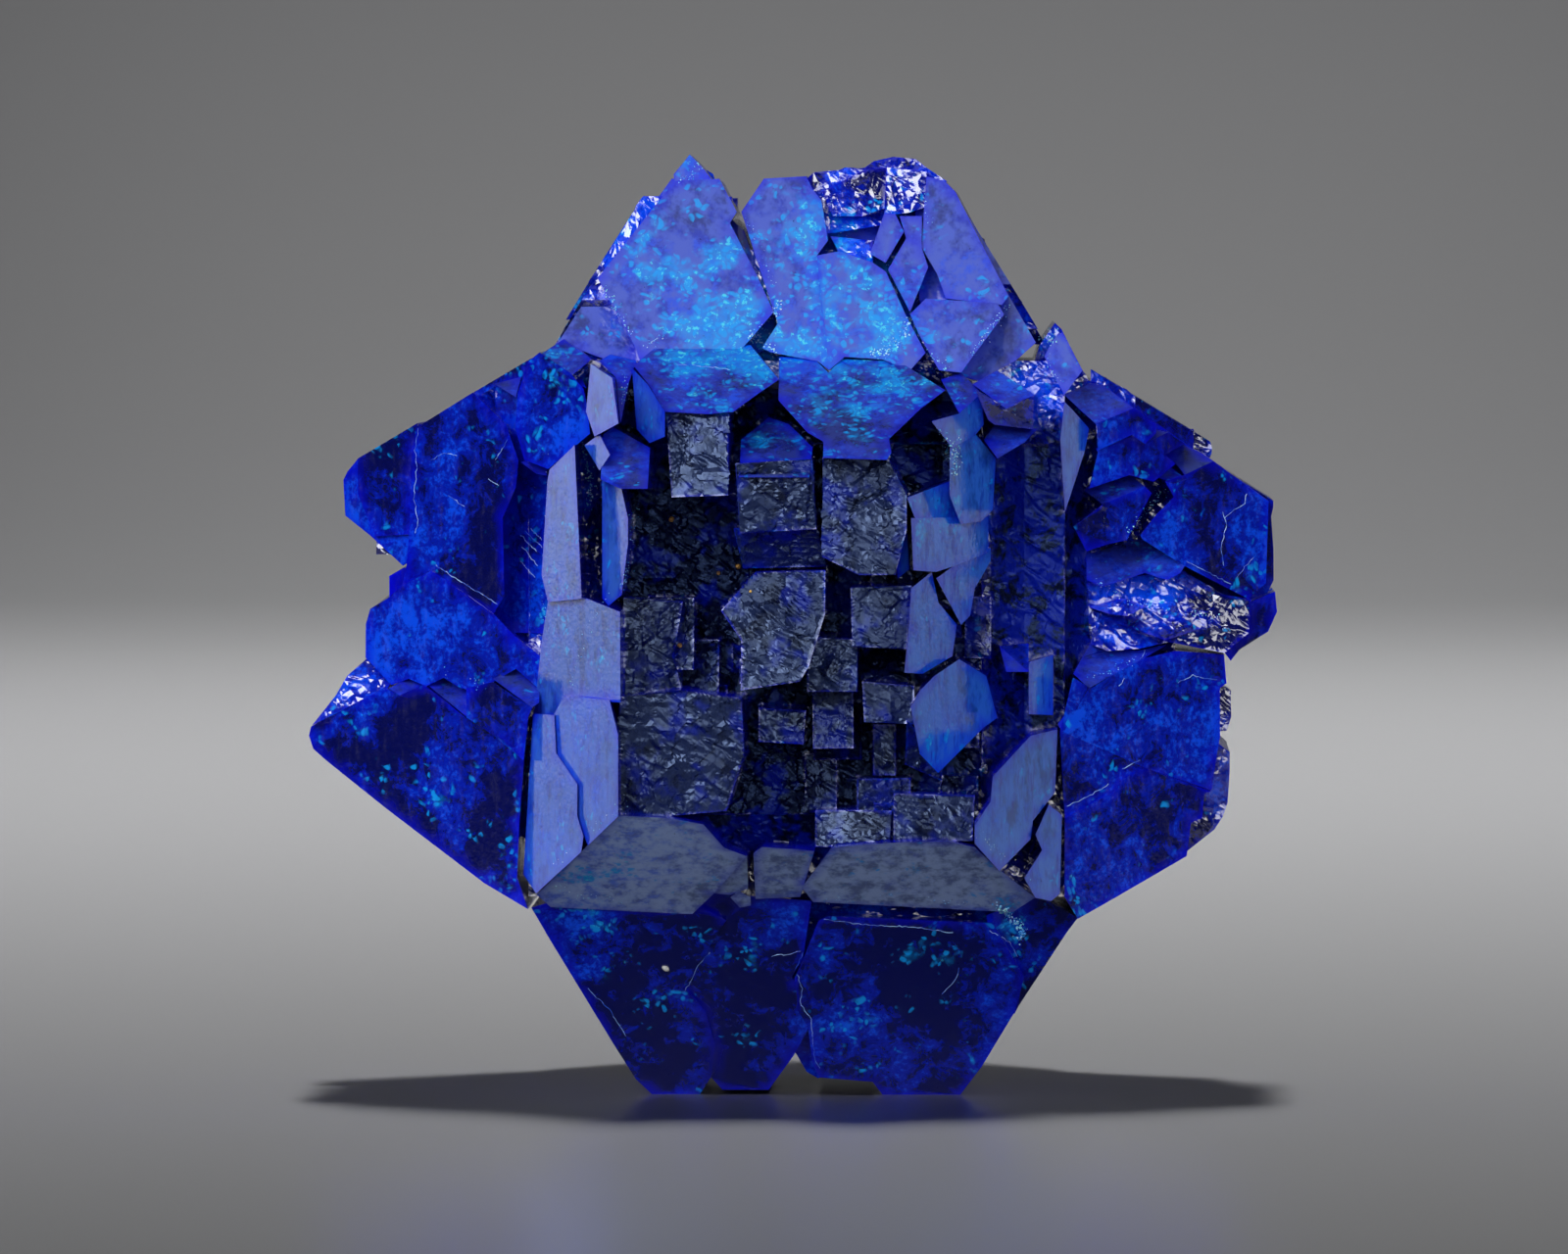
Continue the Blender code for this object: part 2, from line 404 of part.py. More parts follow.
STEPS = [
    Step("left upper rhomb", "up", ("left", 0.30), [
        (-5.70, 6.15), (-5.20, 6.50), (-4.55, 6.05), (-4.95, 5.70)
    ]),
    Step("left small rhomb", "up", ("left", -0.08), [(-5.05, 5.60), (-4.75, 5.60), (-4.65, 5.40)]),
    Step("left edge facet", "up", ("left", 0.10), [(-6.75, 5.50), (-6.15, 5.65), (-6.25, 5.20)]),
    Step("left crack facet", "up", ("left", 0.00), [
        (-6.15, 3.75), (-5.95, 3.80), (-5.55, 3.60), (-5.55, 3.45), (-5.80, 3.50)
    ]),
    Step("left low rhomb one", "up", ("left", 0.62), [
        (-9.15, -1.35), (-8.70, -1.10), (-8.35, -1.25), (-8.90, -1.50)
    ]),
    Step("left low rhomb two", "up", ("left", 0.62), [
        (-8.30, -1.25), (-7.90, -1.05), (-7.55, -1.20), (-7.40, -1.40), (-7.35, -1.95)
    ]),
    Step("left low rhomb three", "up", ("left", 0.78), [
        (-6.75, -1.10), (-6.25, -0.80), (-5.70, -1.30), (-5.70, -1.60), (-5.85, -1.70)
    ]),
    Step("right shoulder rhomb", "up", ("right", 0.36), [
        (6.00, 5.25), (6.60, 5.50), (6.90, 5.45), (7.55, 4.95), (6.70, 4.60)
    ]),
    Step("right first strip", "up", ("right", 0.20), [
        (6.70, 4.05), (7.45, 4.40), (7.55, 4.35), (6.75, 3.95)
    ]),
    Step("right second strip", "up", ("right", 0.16), [
        (7.75, 4.15), (8.05, 4.45), (8.35, 4.40), (7.80, 4.10)
    ]),
    Step("right stair rhomb", "up", ("right", 0.16), [
        (8.20, 3.90), (8.70, 4.10), (9.05, 3.95), (9.35, 3.75), (8.70, 3.45), (8.50, 3.70)
    ]),
    Step("right stair small", "up", ("right", 0.16), [
        (8.05, 3.40), (8.40, 3.60), (8.75, 3.35), (8.45, 3.25)
    ]),
    Step("right long rhomb", "up", ("right", 0.05), [
        (6.45, 3.10), (6.60, 3.30), (6.75, 3.20), (7.45, 3.45), (7.80, 3.20), (6.85, 2.80)
    ]),
    Step("right great rhomb", "up", ("right", -0.10), [
        (6.50, 1.90), (7.25, 2.00), (7.75, 2.00), (8.70, 1.40), (8.60, 1.25), (8.30, 1.10),
        (7.80, 1.25), (6.85, 0.95), (6.50, 1.10)
    ]),
    Step("right curved rhomb", "up", ("right", 0.22), [
        (6.20, -1.00), (6.40, -0.65), (6.60, -0.35), (7.00, -0.50), (7.65, -0.50), (8.35, -0.35),
        (7.80, -0.65), (7.10, -1.00), (6.55, -1.30)
    ]),
    Step("right low rhomb", "up", ("right", 0.22), [
        (5.85, -2.10), (6.15, -1.70), (6.55, -1.90), (6.85, -1.85), (6.40, -2.05), (5.95, -2.25)
    ]),
]

# The back arm is not seen from the front. It has a frame of plates like the front one, around broken columns:
# side of the frame, start and end along it, height over the ideal face.
BACK_PLATES = (
    ("up", -6.0, -0.4, 0.15),
    ("up", -0.3, 6.0, -0.05),
    ("east", -6.0, -1.2, 0.1),
    ("east", -1.1, 2.3, -0.12),
    ("east", 2.4, 6.0, 0.2),
    ("down", -6.0, -2.0, -0.05),
    ("down", -1.9, 2.4, 0.18),
    ("down", 2.5, 6.0, 0.05),
    ("west", -6.0, 0.6, 0.12),
    ("west", 0.7, 6.0, -0.08),
)

# V-shaped notches between the crystals of an arm, seen from the side: arm, place across, depth of the V
SIDE_NOTCHES = (
    ("top", 1.3, 0.8),
    ("top", -1.7, 0.5),
    ("left", 0.9, 0.7),
    ("left", -1.4, 0.4),
    ("right", 1.6, 0.5),
    ("right", -0.8, 0.8),
    ("bottom", 0.3, 0.6),
)

# Petals on the flanks of the side arms, which the front view shows edge on: arm, side of it (-1 left, 1
# right as seen from the front with the arm upwards), height over the ideal face
SIDE_FLANKS = (
    ("top", -1, -0.52),
    ("top", 1, -0.42),
    ("left", -1, -0.40),
    ("left", 1, -0.30),
    ("right", -1, -0.15),
    ("right", 1, -0.35),
    ("bottom", -1, -0.30),
    ("bottom", 1, -0.40),
)


def plane_depth(normal, distance, x, z):
    """How far in front of the centre the plane normal . p = distance lies at (x, z)."""
    return (distance - normal[0] * x - normal[2] * z) / -normal[1]


def middle(outline):
    xs, zs = zip(*outline)
    return sum(xs) / len(xs), sum(zs) / len(zs)


def cut(bm, point, normal):
    """Removes what lies beyond a plane and closes the mesh there."""
    parts = bm.verts[:] + bm.edges[:] + bm.faces[:]
    result = bmesh.ops.bisect_plane(bm, geom=parts, plane_co=point, plane_no=normal, clear_outer=True)
    edges = [part for part in result["geom_cut"] if isinstance(part, bmesh.types.BMEdge)]
    if edges:
        bmesh.ops.edgeloop_fill(bm, edges=edges)


def prism(outline, front, back):
    """A closed prism along Y with this outline, from the depth front to the depth back."""
    bm = bmesh.new()
    start = bm.faces.new([bm.verts.new((x, -back, z)) for x, z in outline])
    ends = bmesh.ops.extrude_face_region(bm, geom=[start])["geom"]
    moved = [part for part in ends if isinstance(part, bmesh.types.BMVert)]
    bmesh.ops.translate(bm, verts=moved, vec=(0, back - front, 0))
    bmesh.ops.recalc_face_normals(bm, faces=bm.faces)
    return bm


def front_plane(crystal):
    """A point of the crystal's front face, and its normal."""
    x, z = middle(crystal.outline)
    if crystal.face in FACES:
        normal = FACES[crystal.face]
        depth = plane_depth(normal, FACE_DISTANCE + crystal.height, x, z)
    else:
        across, upwards = crystal.face
        normal = Vector((across, -1, upwards)).normalized()
        depth = crystal.height
    return Vector((x, -depth, z)), Vector(normal)


def step_plane(step):
    arm, height = step.carrier
    normal = Vector(FACES[step.face])
    x, z = min(step.outline, key=lambda corner: normal.x * corner[0] + normal.z * corner[1])
    depth = plane_depth(FACES[arm], FACE_DISTANCE + height, x, z)
    return Vector((x, -depth, z)), normal


def turned(bm, about, chance):
    """Turns one crystal a little from its neighbours, as in any mosaic crystal."""
    for axis in "XYZ":
        angle = math.radians(chance.uniform(-MOSAIC_DEG, MOSAIC_DEG))
        turn = Matrix.Rotation(angle, 4, axis)
        bmesh.ops.rotate(bm, verts=bm.verts, cent=about, matrix=turn)
    return bm


def crystal_mesh(crystal, chance):
    point, normal = front_plane(crystal)
    back = -FAR if crystal.through else 0.0
    bm = prism(crystal.outline, FAR, back)
    cut(bm, point, normal)
    if crystal.through:
        # A broken crystal ends where the arm's back begins, like its neighbours.
        arm = crystal.face if crystal.face in FACES else nearest_arm(middle(crystal.outline))
        away = Vector(FACES[arm]) * Vector((1, -1, 1))
        height = chance.uniform(-0.35, 0.1)
        cut(bm, away * (FACE_DISTANCE + height), away)
    return turned(bm, point, chance)


def nearest_arm(place):
    x, z = place
    if abs(x) > abs(z):
        return "right" if x > 0 else "left"
    return "top" if z > 0 else "bottom"


def step_mesh(step, chance):
    point, normal = step_plane(step)
    bm = prism(step.outline, FAR, 1.0)
    cut(bm, point, normal)
    return turned(bm, point, chance)


def frustum(base_half, end_half, start, end):
    """A square frustum around the Z axis."""
    bm = bmesh.new()
    bmesh.ops.create_cone(
        bm, cap_ends=True, segments=4, radius1=base_half * math.sqrt(2), radius2=end_half * math.sqrt(2),
        depth=end - start,
    )
    bmesh.ops.rotate(bm, verts=bm.verts, matrix=Matrix.Rotation(math.radians(45), 4, "Z"))
    bmesh.ops.translate(bm, verts=bm.verts, vec=(0, 0, (start + end) / 2))
    return bm


def core_meshes():
    """What the crystals grow from: a block behind the hopper, and a stump in each arm."""
    block = bmesh.new()
    bmesh.ops.create_cube(block, size=1)
    depth = HOPPER_FLOOR + CUBE_HALF - CORE_INSET
    half = CUBE_HALF - 0.35 * CORE_INSET
    bmesh.ops.scale(block, verts=block.verts, vec=(2 * half, depth, 2 * half))
    bmesh.ops.translate(block, verts=block.verts, vec=(0, depth / 2 - HOPPER_FLOOR, 0))
    meshes = [block]
    base = CUBE_HALF - CORE_INSET
    end = base - (CORE_ARM_END - base) / math.tan(LEAN)
    for axis, angle in (("Y", 0), ("Y", 90), ("Y", 180), ("Y", 270), ("X", -90)):
        stump = frustum(base, end - 0.3, base - 1.5, CORE_ARM_END)
        bmesh.ops.rotate(stump, verts=stump.verts, matrix=Matrix.Rotation(math.radians(angle), 4, axis))
        meshes.append(stump)
    return meshes


def back_plate(face, start, end, height, chance):
    """One plate of the frame on the back arm, between two places along its side of the frame."""
    outer = CUBE_HALF - 0.15
    inner = BACK_FRAME_INNER - chance.uniform(0, 0.3)
    outline = [(start, outer), (end, outer), (min(end, inner), inner), (max(start, -inner), inner)]
    turn = {"up": 0, "east": -90, "down": 180, "west": 90}[face]
    corners = [Matrix.Rotation(math.radians(turn), 2) @ Vector(corner) for corner in outline]
    bm = prism([tuple(corner) for corner in corners], -0.5, -FAR)
    away = Vector(FACES[face]) * Vector((1, -1, 1))
    cut(bm, away * (FACE_DISTANCE + height), away)
    return turned(bm, away * FACE_DISTANCE, chance)


def back_column(row, column, chance):
    """One of the broken columns inside the back arm's frame."""
    pitch = 2 * BACK_FRAME_INNER / BACK_COLUMNS
    x = (column - (BACK_COLUMNS - 1) / 2) * pitch + chance.uniform(-0.2, 0.2)
    z = (row - (BACK_COLUMNS - 1) / 2) * pitch + chance.uniform(-0.2, 0.2)
    wide, high = pitch * chance.uniform(0.5, 0.62), pitch * chance.uniform(0.5, 0.62)
    outline = [(x - wide, z - high), (x + wide, z - high), (x + wide, z + high), (x - wide, z + high)]
    bm = prism(outline, -2.0, -FAR)
    lean = Vector((chance.uniform(-0.3, 0.3), 1, chance.uniform(-0.1, 0.4)))
    cut(bm, (x, chance.uniform(8.2, 9.7), z), lean)
    return turned(bm, (x, 8, z), chance)


def side_petal(arm, side, height, chance):
    """A six-sided petal on a flank of a side arm, drawn on the right flank of the top arm and then turned."""
    low = chance.uniform(6.4, 7.4)
    high = chance.uniform(8.4, 9.9)
    limit = CUBE_HALF - (high - CUBE_HALF) / math.tan(LEAN) - 0.6
    y = chance.uniform(-limit, limit)
    waist = chance.uniform(0.7, 1.5)
    top_half = max(waist - (high - low - 0.6) / math.tan(LEAN), 0.3)
    outline = [
        (y - top_half, high), (y + top_half, high), (y + waist, low + 0.6), (y + waist * 0.6, low - 0.4),
        (y - waist * 0.6, low - 0.4), (y - waist, low + 0.6),
    ]
    bm = prism(outline, FAR, 1.5)
    # The prism faces the viewer: turned a quarter, it faces right.
    bmesh.ops.rotate(bm, verts=bm.verts, matrix=Matrix.Rotation(math.radians(90), 4, "Z"))
    away = Vector((STEEP, 0, GENTLE))
    cut(bm, away * (FACE_DISTANCE + height + chance.uniform(-0.05, 0.05)), away)
    turned(bm, (3, y, 8), chance)
    if side < 0:
        bmesh.ops.rotate(bm, verts=bm.verts, matrix=Matrix.Rotation(math.pi, 4, "Z"))
    angle = {"top": 0, "right": 90, "bottom": 180, "left": 270}[arm]
    bmesh.ops.rotate(bm, verts=bm.verts, matrix=Matrix.Rotation(math.radians(angle), 4, "Y"))
    return bm


def floor_block(chance):
    """A short broken column on the floor of the hopper."""
    x, z = chance.uniform(-4.0, 4.2), chance.uniform(-4.6, 4.0)
    wide, high = chance.uniform(0.25, 0.7), chance.uniform(0.25, 0.8)
    outline = [(x - wide, z - high), (x + wide, z - high), (x + wide, z + high), (x - wide, z + high)]
    bm = prism(outline, FAR, 3.0)
    lean = Vector((chance.uniform(-0.35, 0.35), -1, chance.uniform(-0.2, 0.5)))
    cut(bm, (x, -chance.uniform(HOPPER_FLOOR + 0.3, HOPPER_FLOOR + 1.9), z), lean)
    return turned(bm, (x, -HOPPER_FLOOR, z), chance)


def notch_cutter(arm, place, depth):
    """A wedge across the end of an arm. Its two sides are crystal faces."""
    rise = depth + 2.0
    half = rise / math.tan(LEAN)
    bm = bmesh.new()
    corners = [(-half, rise), (half, rise), (0, 0)]
    face = bm.faces.new([bm.verts.new((-FAR, place + across, up)) for across, up in corners])
    ends = bmesh.ops.extrude_face_region(bm, geom=[face])["geom"]
    moved = [part for part in ends if isinstance(part, bmesh.types.BMVert)]
    bmesh.ops.translate(bm, verts=moved, vec=(2 * FAR, 0, 0))
    bmesh.ops.translate(bm, verts=bm.verts, vec=(0, 0, NOTCH_LEVEL - depth))
    angle = {"top": 0, "right": 90, "bottom": 180, "left": 270}[arm]
    bmesh.ops.rotate(bm, verts=bm.verts, matrix=Matrix.Rotation(math.radians(angle), 4, "Y"))
    bmesh.ops.recalc_face_normals(bm, faces=bm.faces)
    return bm


def helper(name, bm, collection):
    """Writes a mesh as a hidden helper object, in metres."""
    bmesh.ops.scale(bm, verts=bm.verts, vec=(MM, MM, MM))
    bmesh.ops.recalc_face_normals(bm, faces=bm.faces)
    mesh = bpy.data.meshes.new(name)
    bm.to_mesh(mesh)
    bm.free()
    obj = bpy.data.objects.new(name, mesh)
    obj.hide_render = True
    obj.display_type = "WIRE"
    collection.objects.link(obj)
    return obj


def blue_crystal():
    material = bpy.data.materials.new(NAME)
    material.use_nodes = True
    shader = material.node_tree.nodes["Principled BSDF"]
    shader.inputs["Base Color"].default_value = (0.01, 0.06, 0.42, 1)
    shader.inputs["Roughness"].default_value = 0.2
    shader.inputs["Metallic"].default_value = 0.0
    shader.inputs["IOR"].default_value = 2.03
    return material


def joined(body, collection, operation):
    """The body after one exact Boolean with every object of the collection."""
    modifier = body.modifiers.new(operation.lower(), "BOOLEAN")
    modifier.operation = operation
    modifier.operand_type = "COLLECTION"
    modifier.collection = collection
    modifier.solver = "EXACT"
    modifier.use_self = operation == "UNION"
    bpy.context.view_layer.update()
    graph = bpy.context.evaluated_depsgraph_get()
    mesh = bpy.data.meshes.new_from_object(body.evaluated_get(graph))
    body.modifiers.clear()
    body.data = mesh


def outer_shell(bm):
    """Deletes every surface but the largest, as hollows that the crystals close off are filled."""
    left = set(bm.faces)
    shells = []
    while left:
        shell = {left.pop()}
        border = list(shell)
        while border:
            face = border.pop()
            near = {other for edge in face.edges for other in edge.link_faces} & left
            left -= near
            shell |= near
            border += near
        shells.append(shell)
    largest = max(shells, key=lambda shell: sum(face.calc_area() for face in shell))
    inner = [face for shell in shells if shell is not largest for face in shell]
    bmesh.ops.delete(bm, geom=inner, context="FACES")


def stand(body):
    """Wears the lowest tips flat, and puts the middle of the underside at the origin."""
    bm = bmesh.new()
    bm.from_mesh(body.data)
    outer_shell(bm)
    parts = bm.verts[:] + bm.edges[:] + bm.faces[:]
    result = bmesh.ops.bisect_plane(
        bm, geom=parts, plane_co=(0, 0, REST_LEVEL * MM), plane_no=(0, 0, -1), clear_outer=True
    )
    rims = [part for part in result["geom_cut"] if isinstance(part, bmesh.types.BMEdge)]
    bmesh.ops.holes_fill(bm, edges=rims)
    bmesh.ops.dissolve_limit(bm, angle_limit=math.radians(0.02), verts=bm.verts, edges=bm.edges)
    bmesh.ops.triangulate(bm, faces=bm.faces)
    xs = [vert.co.x for vert in bm.verts]
    ys = [vert.co.y for vert in bm.verts]
    middle_x, middle_y = (min(xs) + max(xs)) / 2, (min(ys) + max(ys)) / 2
    bmesh.ops.translate(bm, verts=bm.verts, vec=(-middle_x, -middle_y, -REST_LEVEL * MM))
    bm.to_mesh(body.data)
    bm.free()


def build():
    for obj in list(bpy.data.objects):
        bpy.data.objects.remove(obj, do_unlink=True)
    scene = bpy.context.scene.collection
    crystals = bpy.data.collections.new("crystals")
    cutters = bpy.data.collections.new("cutters")
    scene.children.link(crystals)
    scene.children.link(cutters)
    chance = random.Random(58)
    first, *stumps = core_meshes()
    body = helper(NAME, first, scene)
    for stump in stumps:
        helper("stump", stump, crystals)
    for crystal in TOP_ARM + LEFT_ARM + BOTTOM_ARM + RIGHT_ARM + FRAME + HOPPER:
        helper(crystal.name, crystal_mesh(crystal, chance), crystals)
    for step in STEPS:
        helper(step.name, step_mesh(step, chance), crystals)
    for face, start, end, height in BACK_PLATES:
        helper("back plate", back_plate(face, start, end, height, chance), crystals)
    for row in range(BACK_COLUMNS):
        for column in range(BACK_COLUMNS):
            helper("back column", back_column(row, column, chance), crystals)
    for arm, side, height in SIDE_FLANKS:
        for _ in range(PETALS_PER_FLANK):
            helper("side petal", side_petal(arm, side, height, chance), crystals)
    for _ in range(FLOOR_BLOCKS):
        helper("floor block", floor_block(chance), crystals)
    for notch in SIDE_NOTCHES:
        helper("notch", notch_cutter(*notch), cutters)
    joined(body, crystals, "UNION")
    joined(body, cutters, "DIFFERENCE")
    stand(body)
    for collection in (crystals, cutters):
        for obj in list(collection.objects):
            bpy.data.objects.remove(obj, do_unlink=True)
        bpy.data.collections.remove(collection)
    body.hide_render = False
    body.display_type = "TEXTURED"
    body.data.materials.clear()
    body.data.materials.append(blue_crystal())


build()
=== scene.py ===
"""Looks of the cumengeite star: glassy deep blue crystal faces with paler clouds inside them, rough broken
column ends in the hollow front arm, healed cracks, bright crumbs along the edges and a few grains of dust."""
import math
import random

import bmesh
import bpy
from mathutils import Matrix, Vector, noise
from mathutils.bvhtree import BVHTree


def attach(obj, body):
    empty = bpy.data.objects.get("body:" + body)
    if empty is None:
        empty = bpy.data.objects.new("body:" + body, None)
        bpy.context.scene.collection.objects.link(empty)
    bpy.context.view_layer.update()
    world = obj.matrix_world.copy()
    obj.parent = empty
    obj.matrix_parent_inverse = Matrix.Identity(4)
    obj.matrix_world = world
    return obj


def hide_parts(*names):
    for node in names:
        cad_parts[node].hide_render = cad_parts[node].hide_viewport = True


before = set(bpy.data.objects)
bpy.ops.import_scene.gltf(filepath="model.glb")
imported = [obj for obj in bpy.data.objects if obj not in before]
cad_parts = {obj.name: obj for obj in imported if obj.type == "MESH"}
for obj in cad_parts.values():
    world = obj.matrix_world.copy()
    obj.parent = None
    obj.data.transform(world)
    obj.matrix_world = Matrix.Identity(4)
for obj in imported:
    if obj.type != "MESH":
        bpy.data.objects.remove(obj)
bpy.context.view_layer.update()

MM = 0.001
STAR_CENTRE = Vector((0.07, 0.0, 10.55)) * MM

# The photograph's view: nearly level, straight at the hollow front arm.
VIEW_DISTANCE = 291 * MM
VIEW_AZIMUTH = math.radians(1.0)
VIEW_ELEVATION = math.radians(1.5)
VIEW_WIDTH = 35.84 * MM
VIEW_SHIFT_RIGHT = -0.34 * MM
VIEW_SHIFT_UP = -0.11 * MM
SENSOR = 36.0

# The pyramid faces of every arm lean 58.5 degrees to the cube between them.
LEAN = math.radians(58.5)
STEEP, SHALLOW = math.sin(LEAN), math.cos(LEAN)

BROKEN_EDGE = 0.18 * MM
COLUMN_EDGE = 0.10 * MM
GROWTH_EDGE = 0.50 * MM
WALL_EDGE = 1.30 * MM


def pyramid_normals():
    """The 24 directions that a growth face can look in."""
    normals = []
    for arm in range(3):
        for side in range(3):
            if side == arm:
                continue
            for arm_sign in (-1, 1):
                for side_sign in (-1, 1):
                    normal = [0.0, 0.0, 0.0]
                    normal[arm] = arm_sign * SHALLOW
                    normal[side] = side_sign * STEEP
                    normals.append(Vector(normal))
    return normals


def soft_step(value, low, high):
    share = min(max((value - low) / (high - low), 0.0), 1.0)
    return share * share * (3 - 2 * share)


# ---- geometry

def face_kind(normal, growth):
    """0 for a growth face, 1 for the side wall of a plate, 2 for a broken or hollow end."""
    if max(normal.dot(one) for one in growth) > math.cos(math.radians(1.4)):
        return 0
    if abs(normal.y) < 0.04 or normal.z < -0.999:
        return 1
    return 2


def split_long_edges(bm, layer, wanted, longest):
    """Halves every long edge of the triangles that a layer marks, the longest first, until none is left."""
    while True:
        edges = [
            edge for edge in bm.edges
            if edge.calc_length() > longest and any(face[layer] in wanted for face in edge.link_faces)
        ]
        if not edges:
            return
        edges.sort(key=bmesh.types.BMEdge.calc_length, reverse=True)
        for edge in edges:
            ends = set(edge.verts)
            corners = [(face, (set(face.verts) - ends).pop()) for face in edge.link_faces]
            middle = bmesh.utils.edge_split(edge, edge.verts[0], 0.5)[1]
            for face, corner in corners:
                bmesh.utils.face_split(face, middle, corner)


def hackly(point):
    """Height of the broken surface over its plane, in metres: chiselled facets, each tilted its own way."""
    at = point / MM
    height = 0.0
    for cells, slope in ((1.3, 0.85), (3.3, 0.95)):
        middle = noise.voronoi(at * cells)[1][0]
        tilt = noise.noise_vector(middle * 3.7 + Vector((0.3, 5.1, 2.2)))
        height += tilt.dot(at - middle / cells) * slope
    return height * 0.36 * MM


def roughen(bm, kind):
    """Pushes the broken faces in and out, and leaves their outlines where they are."""
    # Without a seed, noise_vector takes its offsets from the clock.
    noise.seed_set(5)
    moves = []
    for vert in bm.verts:
        kinds = {face[kind] for face in vert.link_faces}
        if kinds == {2}:
            moves.append((vert, vert.normal * hackly(vert.co) * (1 - 0.6 * recess_share(vert.co))))
        elif kinds == {1} and vert.co.z > 0.3 * MM:
            moves.append((vert, vert.normal * noise.noise(vert.co / MM * 1.3) * 0.03 * MM))
    for vert, move in moves:
        vert.co += move


def azure_share(co):
    """How pale and cloudy the crystal is at a point: most in the upper arm and the upper frame."""
    at = (co - STAR_CENTRE) / MM
    share = 0.12
    for x, z, reach, strength in AZURE_CLOUDS:
        away = math.hypot(at.x - x, at.z - z) / reach
        share += strength * math.exp(-away * away)
    return min(share, 1.0) * soft_step(-at.y, -2.0, 2.0)


def box_share(at, low, high, edge):
    """1 inside a box that is given by its lowest and highest right and up, and 0 a little way outside it."""
    share = soft_step(-at.y, 3.0, 4.0)
    for value, least, most in ((at.x, low[0], high[0]), (at.z, low[1], high[1])):
        share *= soft_step(value, least, least + edge) * soft_step(-value, -most, -most + edge)
    return share


def hollow_share(co):
    """1 inside the hollow of the front arm, where the column ends are dull and dark, and 0 outside it."""
    return box_share((co - STAR_CENTRE) / MM, (-4.6, -5.2), (4.4, 5.9), 0.5)


def recess_share(co):
    """1 in the deep recess between the hollow arm and the right arm, where the broken faces carry painted shade."""
    return box_share((co - STAR_CENTRE) / MM, (4.0, -3.4), (6.9, 4.9), 0.5)


def painted_light_share(normal):
    """How much painted light a growth face carries, by the side that it looks to: a brighter painted blue, most on the
    side plates, a pale painted reflection of the floor on the downward plates, and a lavender painted sheen, strongest
    on the upper arm.
    """
    if abs(normal.y + STEEP) < 0.02 and normal.z > 0.4:
        return 0.0, 0.0, 1.0
    if abs(normal.y + SHALLOW) > 0.02:
        return 0.0, 0.0, 0.0
    if normal.z < -0.5:
        return 0.2, 0.9, 0.0
    if normal.z > 0.5:
        return 0.0, 0.0, 0.35
    return (0.9, 0.0, 0.35) if normal.x > 0.5 else (0.6, 0.0, 0.45)


def refined_star():
    """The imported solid's mesh, welded and made fine enough to carry broken relief and the cloud attribute."""
    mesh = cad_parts["cumengeite_star"].data.copy()
    mesh.name = "star_crystals"
    bm = bmesh.new()
    bm.from_mesh(mesh)
    bmesh.ops.remove_doubles(bm, verts=bm.verts, dist=0.001 * MM)
    bmesh.ops.dissolve_limit(bm, angle_limit=math.radians(0.1), verts=bm.verts, edges=bm.edges)
    growth = pyramid_normals()
    kind = bm.faces.layers.int.new("kind")
    column = bm.faces.layers.int.new("column")
    tint = bm.faces.layers.float.new("tint")
    painted_plate_light = bm.faces.layers.float.new("painted_plate_light")
    painted_floor_reflection = bm.faces.layers.float.new("painted_floor_reflection")
    painted_lavender_sheen = bm.faces.layers.float.new("painted_lavender_sheen")
    chance = random.Random(7)
    for face in bm.faces:
        face[kind] = face_kind(face.normal, growth)
        in_hollow = hollow_share(face.calc_center_median()) > 0.3
        face[column] = int(face[kind] == 2 and in_hollow and face.normal.y < -0.3)
        face[tint] = chance.random()
        # Painted light by the side a face looks to: a brighter blue, a pale painted floor reflection and a lavender
        # painted sheen.
        face[painted_plate_light], face[painted_floor_reflection], face[painted_lavender_sheen] = painted_light_share(face.normal)
    bmesh.ops.triangulate(bm, faces=bm.faces)
    split_long_edges(bm, kind, {2}, BROKEN_EDGE)
    split_long_edges(bm, column, {1}, COLUMN_EDGE)
    split_long_edges(bm, kind, {0}, GROWTH_EDGE)
    split_long_edges(bm, kind, {1}, WALL_EDGE)
    sharp = {vert for edge in bm.edges if edge.calc_face_angle(0.0) > math.radians(12) for vert in edge.verts}
    roughen(bm, kind)
    broken = bm.verts.layers.float.new("broken")
    rim = bm.verts.layers.float.new("rim")
    azure = bm.verts.layers.float.new("azure")
    hollow = bm.verts.layers.float.new("hollow")
    wall = bm.verts.layers.float.new("wall")
    recess = bm.verts.layers.float.new("recess")
    reach = bm.verts.layers.float.new("reach")
    for vert in bm.verts:
        kinds = [face[kind] for face in vert.link_faces]
        vert[broken] = kinds.count(2) / len(kinds)
        vert[rim] = 1.0 if vert in sharp else 0.0
        vert[azure] = azure_share(vert.co)
        vert[hollow] = hollow_share(vert.co)
        # Painted glow: the shader gives the walls a glow of light shining through the crystal, fainter further back.
        vert[wall] = kinds.count(1) / len(kinds) * (0.25 + 0.75 * soft_step(-vert.co.y / MM, 0.5, 4.0))
        vert[recess] = recess_share(vert.co)
        # Painted shade: reach is how far forward a point lies, and ends deeper in the hollow are painted darker.
        vert[reach] = soft_step((STAR_CENTRE.y - vert.co.y) / MM, 5.9, 9.0)
    for face in bm.faces:
        face.smooth = False
    bm.to_mesh(mesh)
    bm.free()
    star = bpy.data.objects.new("star_crystals", mesh)
    bpy.context.scene.collection.objects.link(star)
    mesh.materials.clear()
    return star


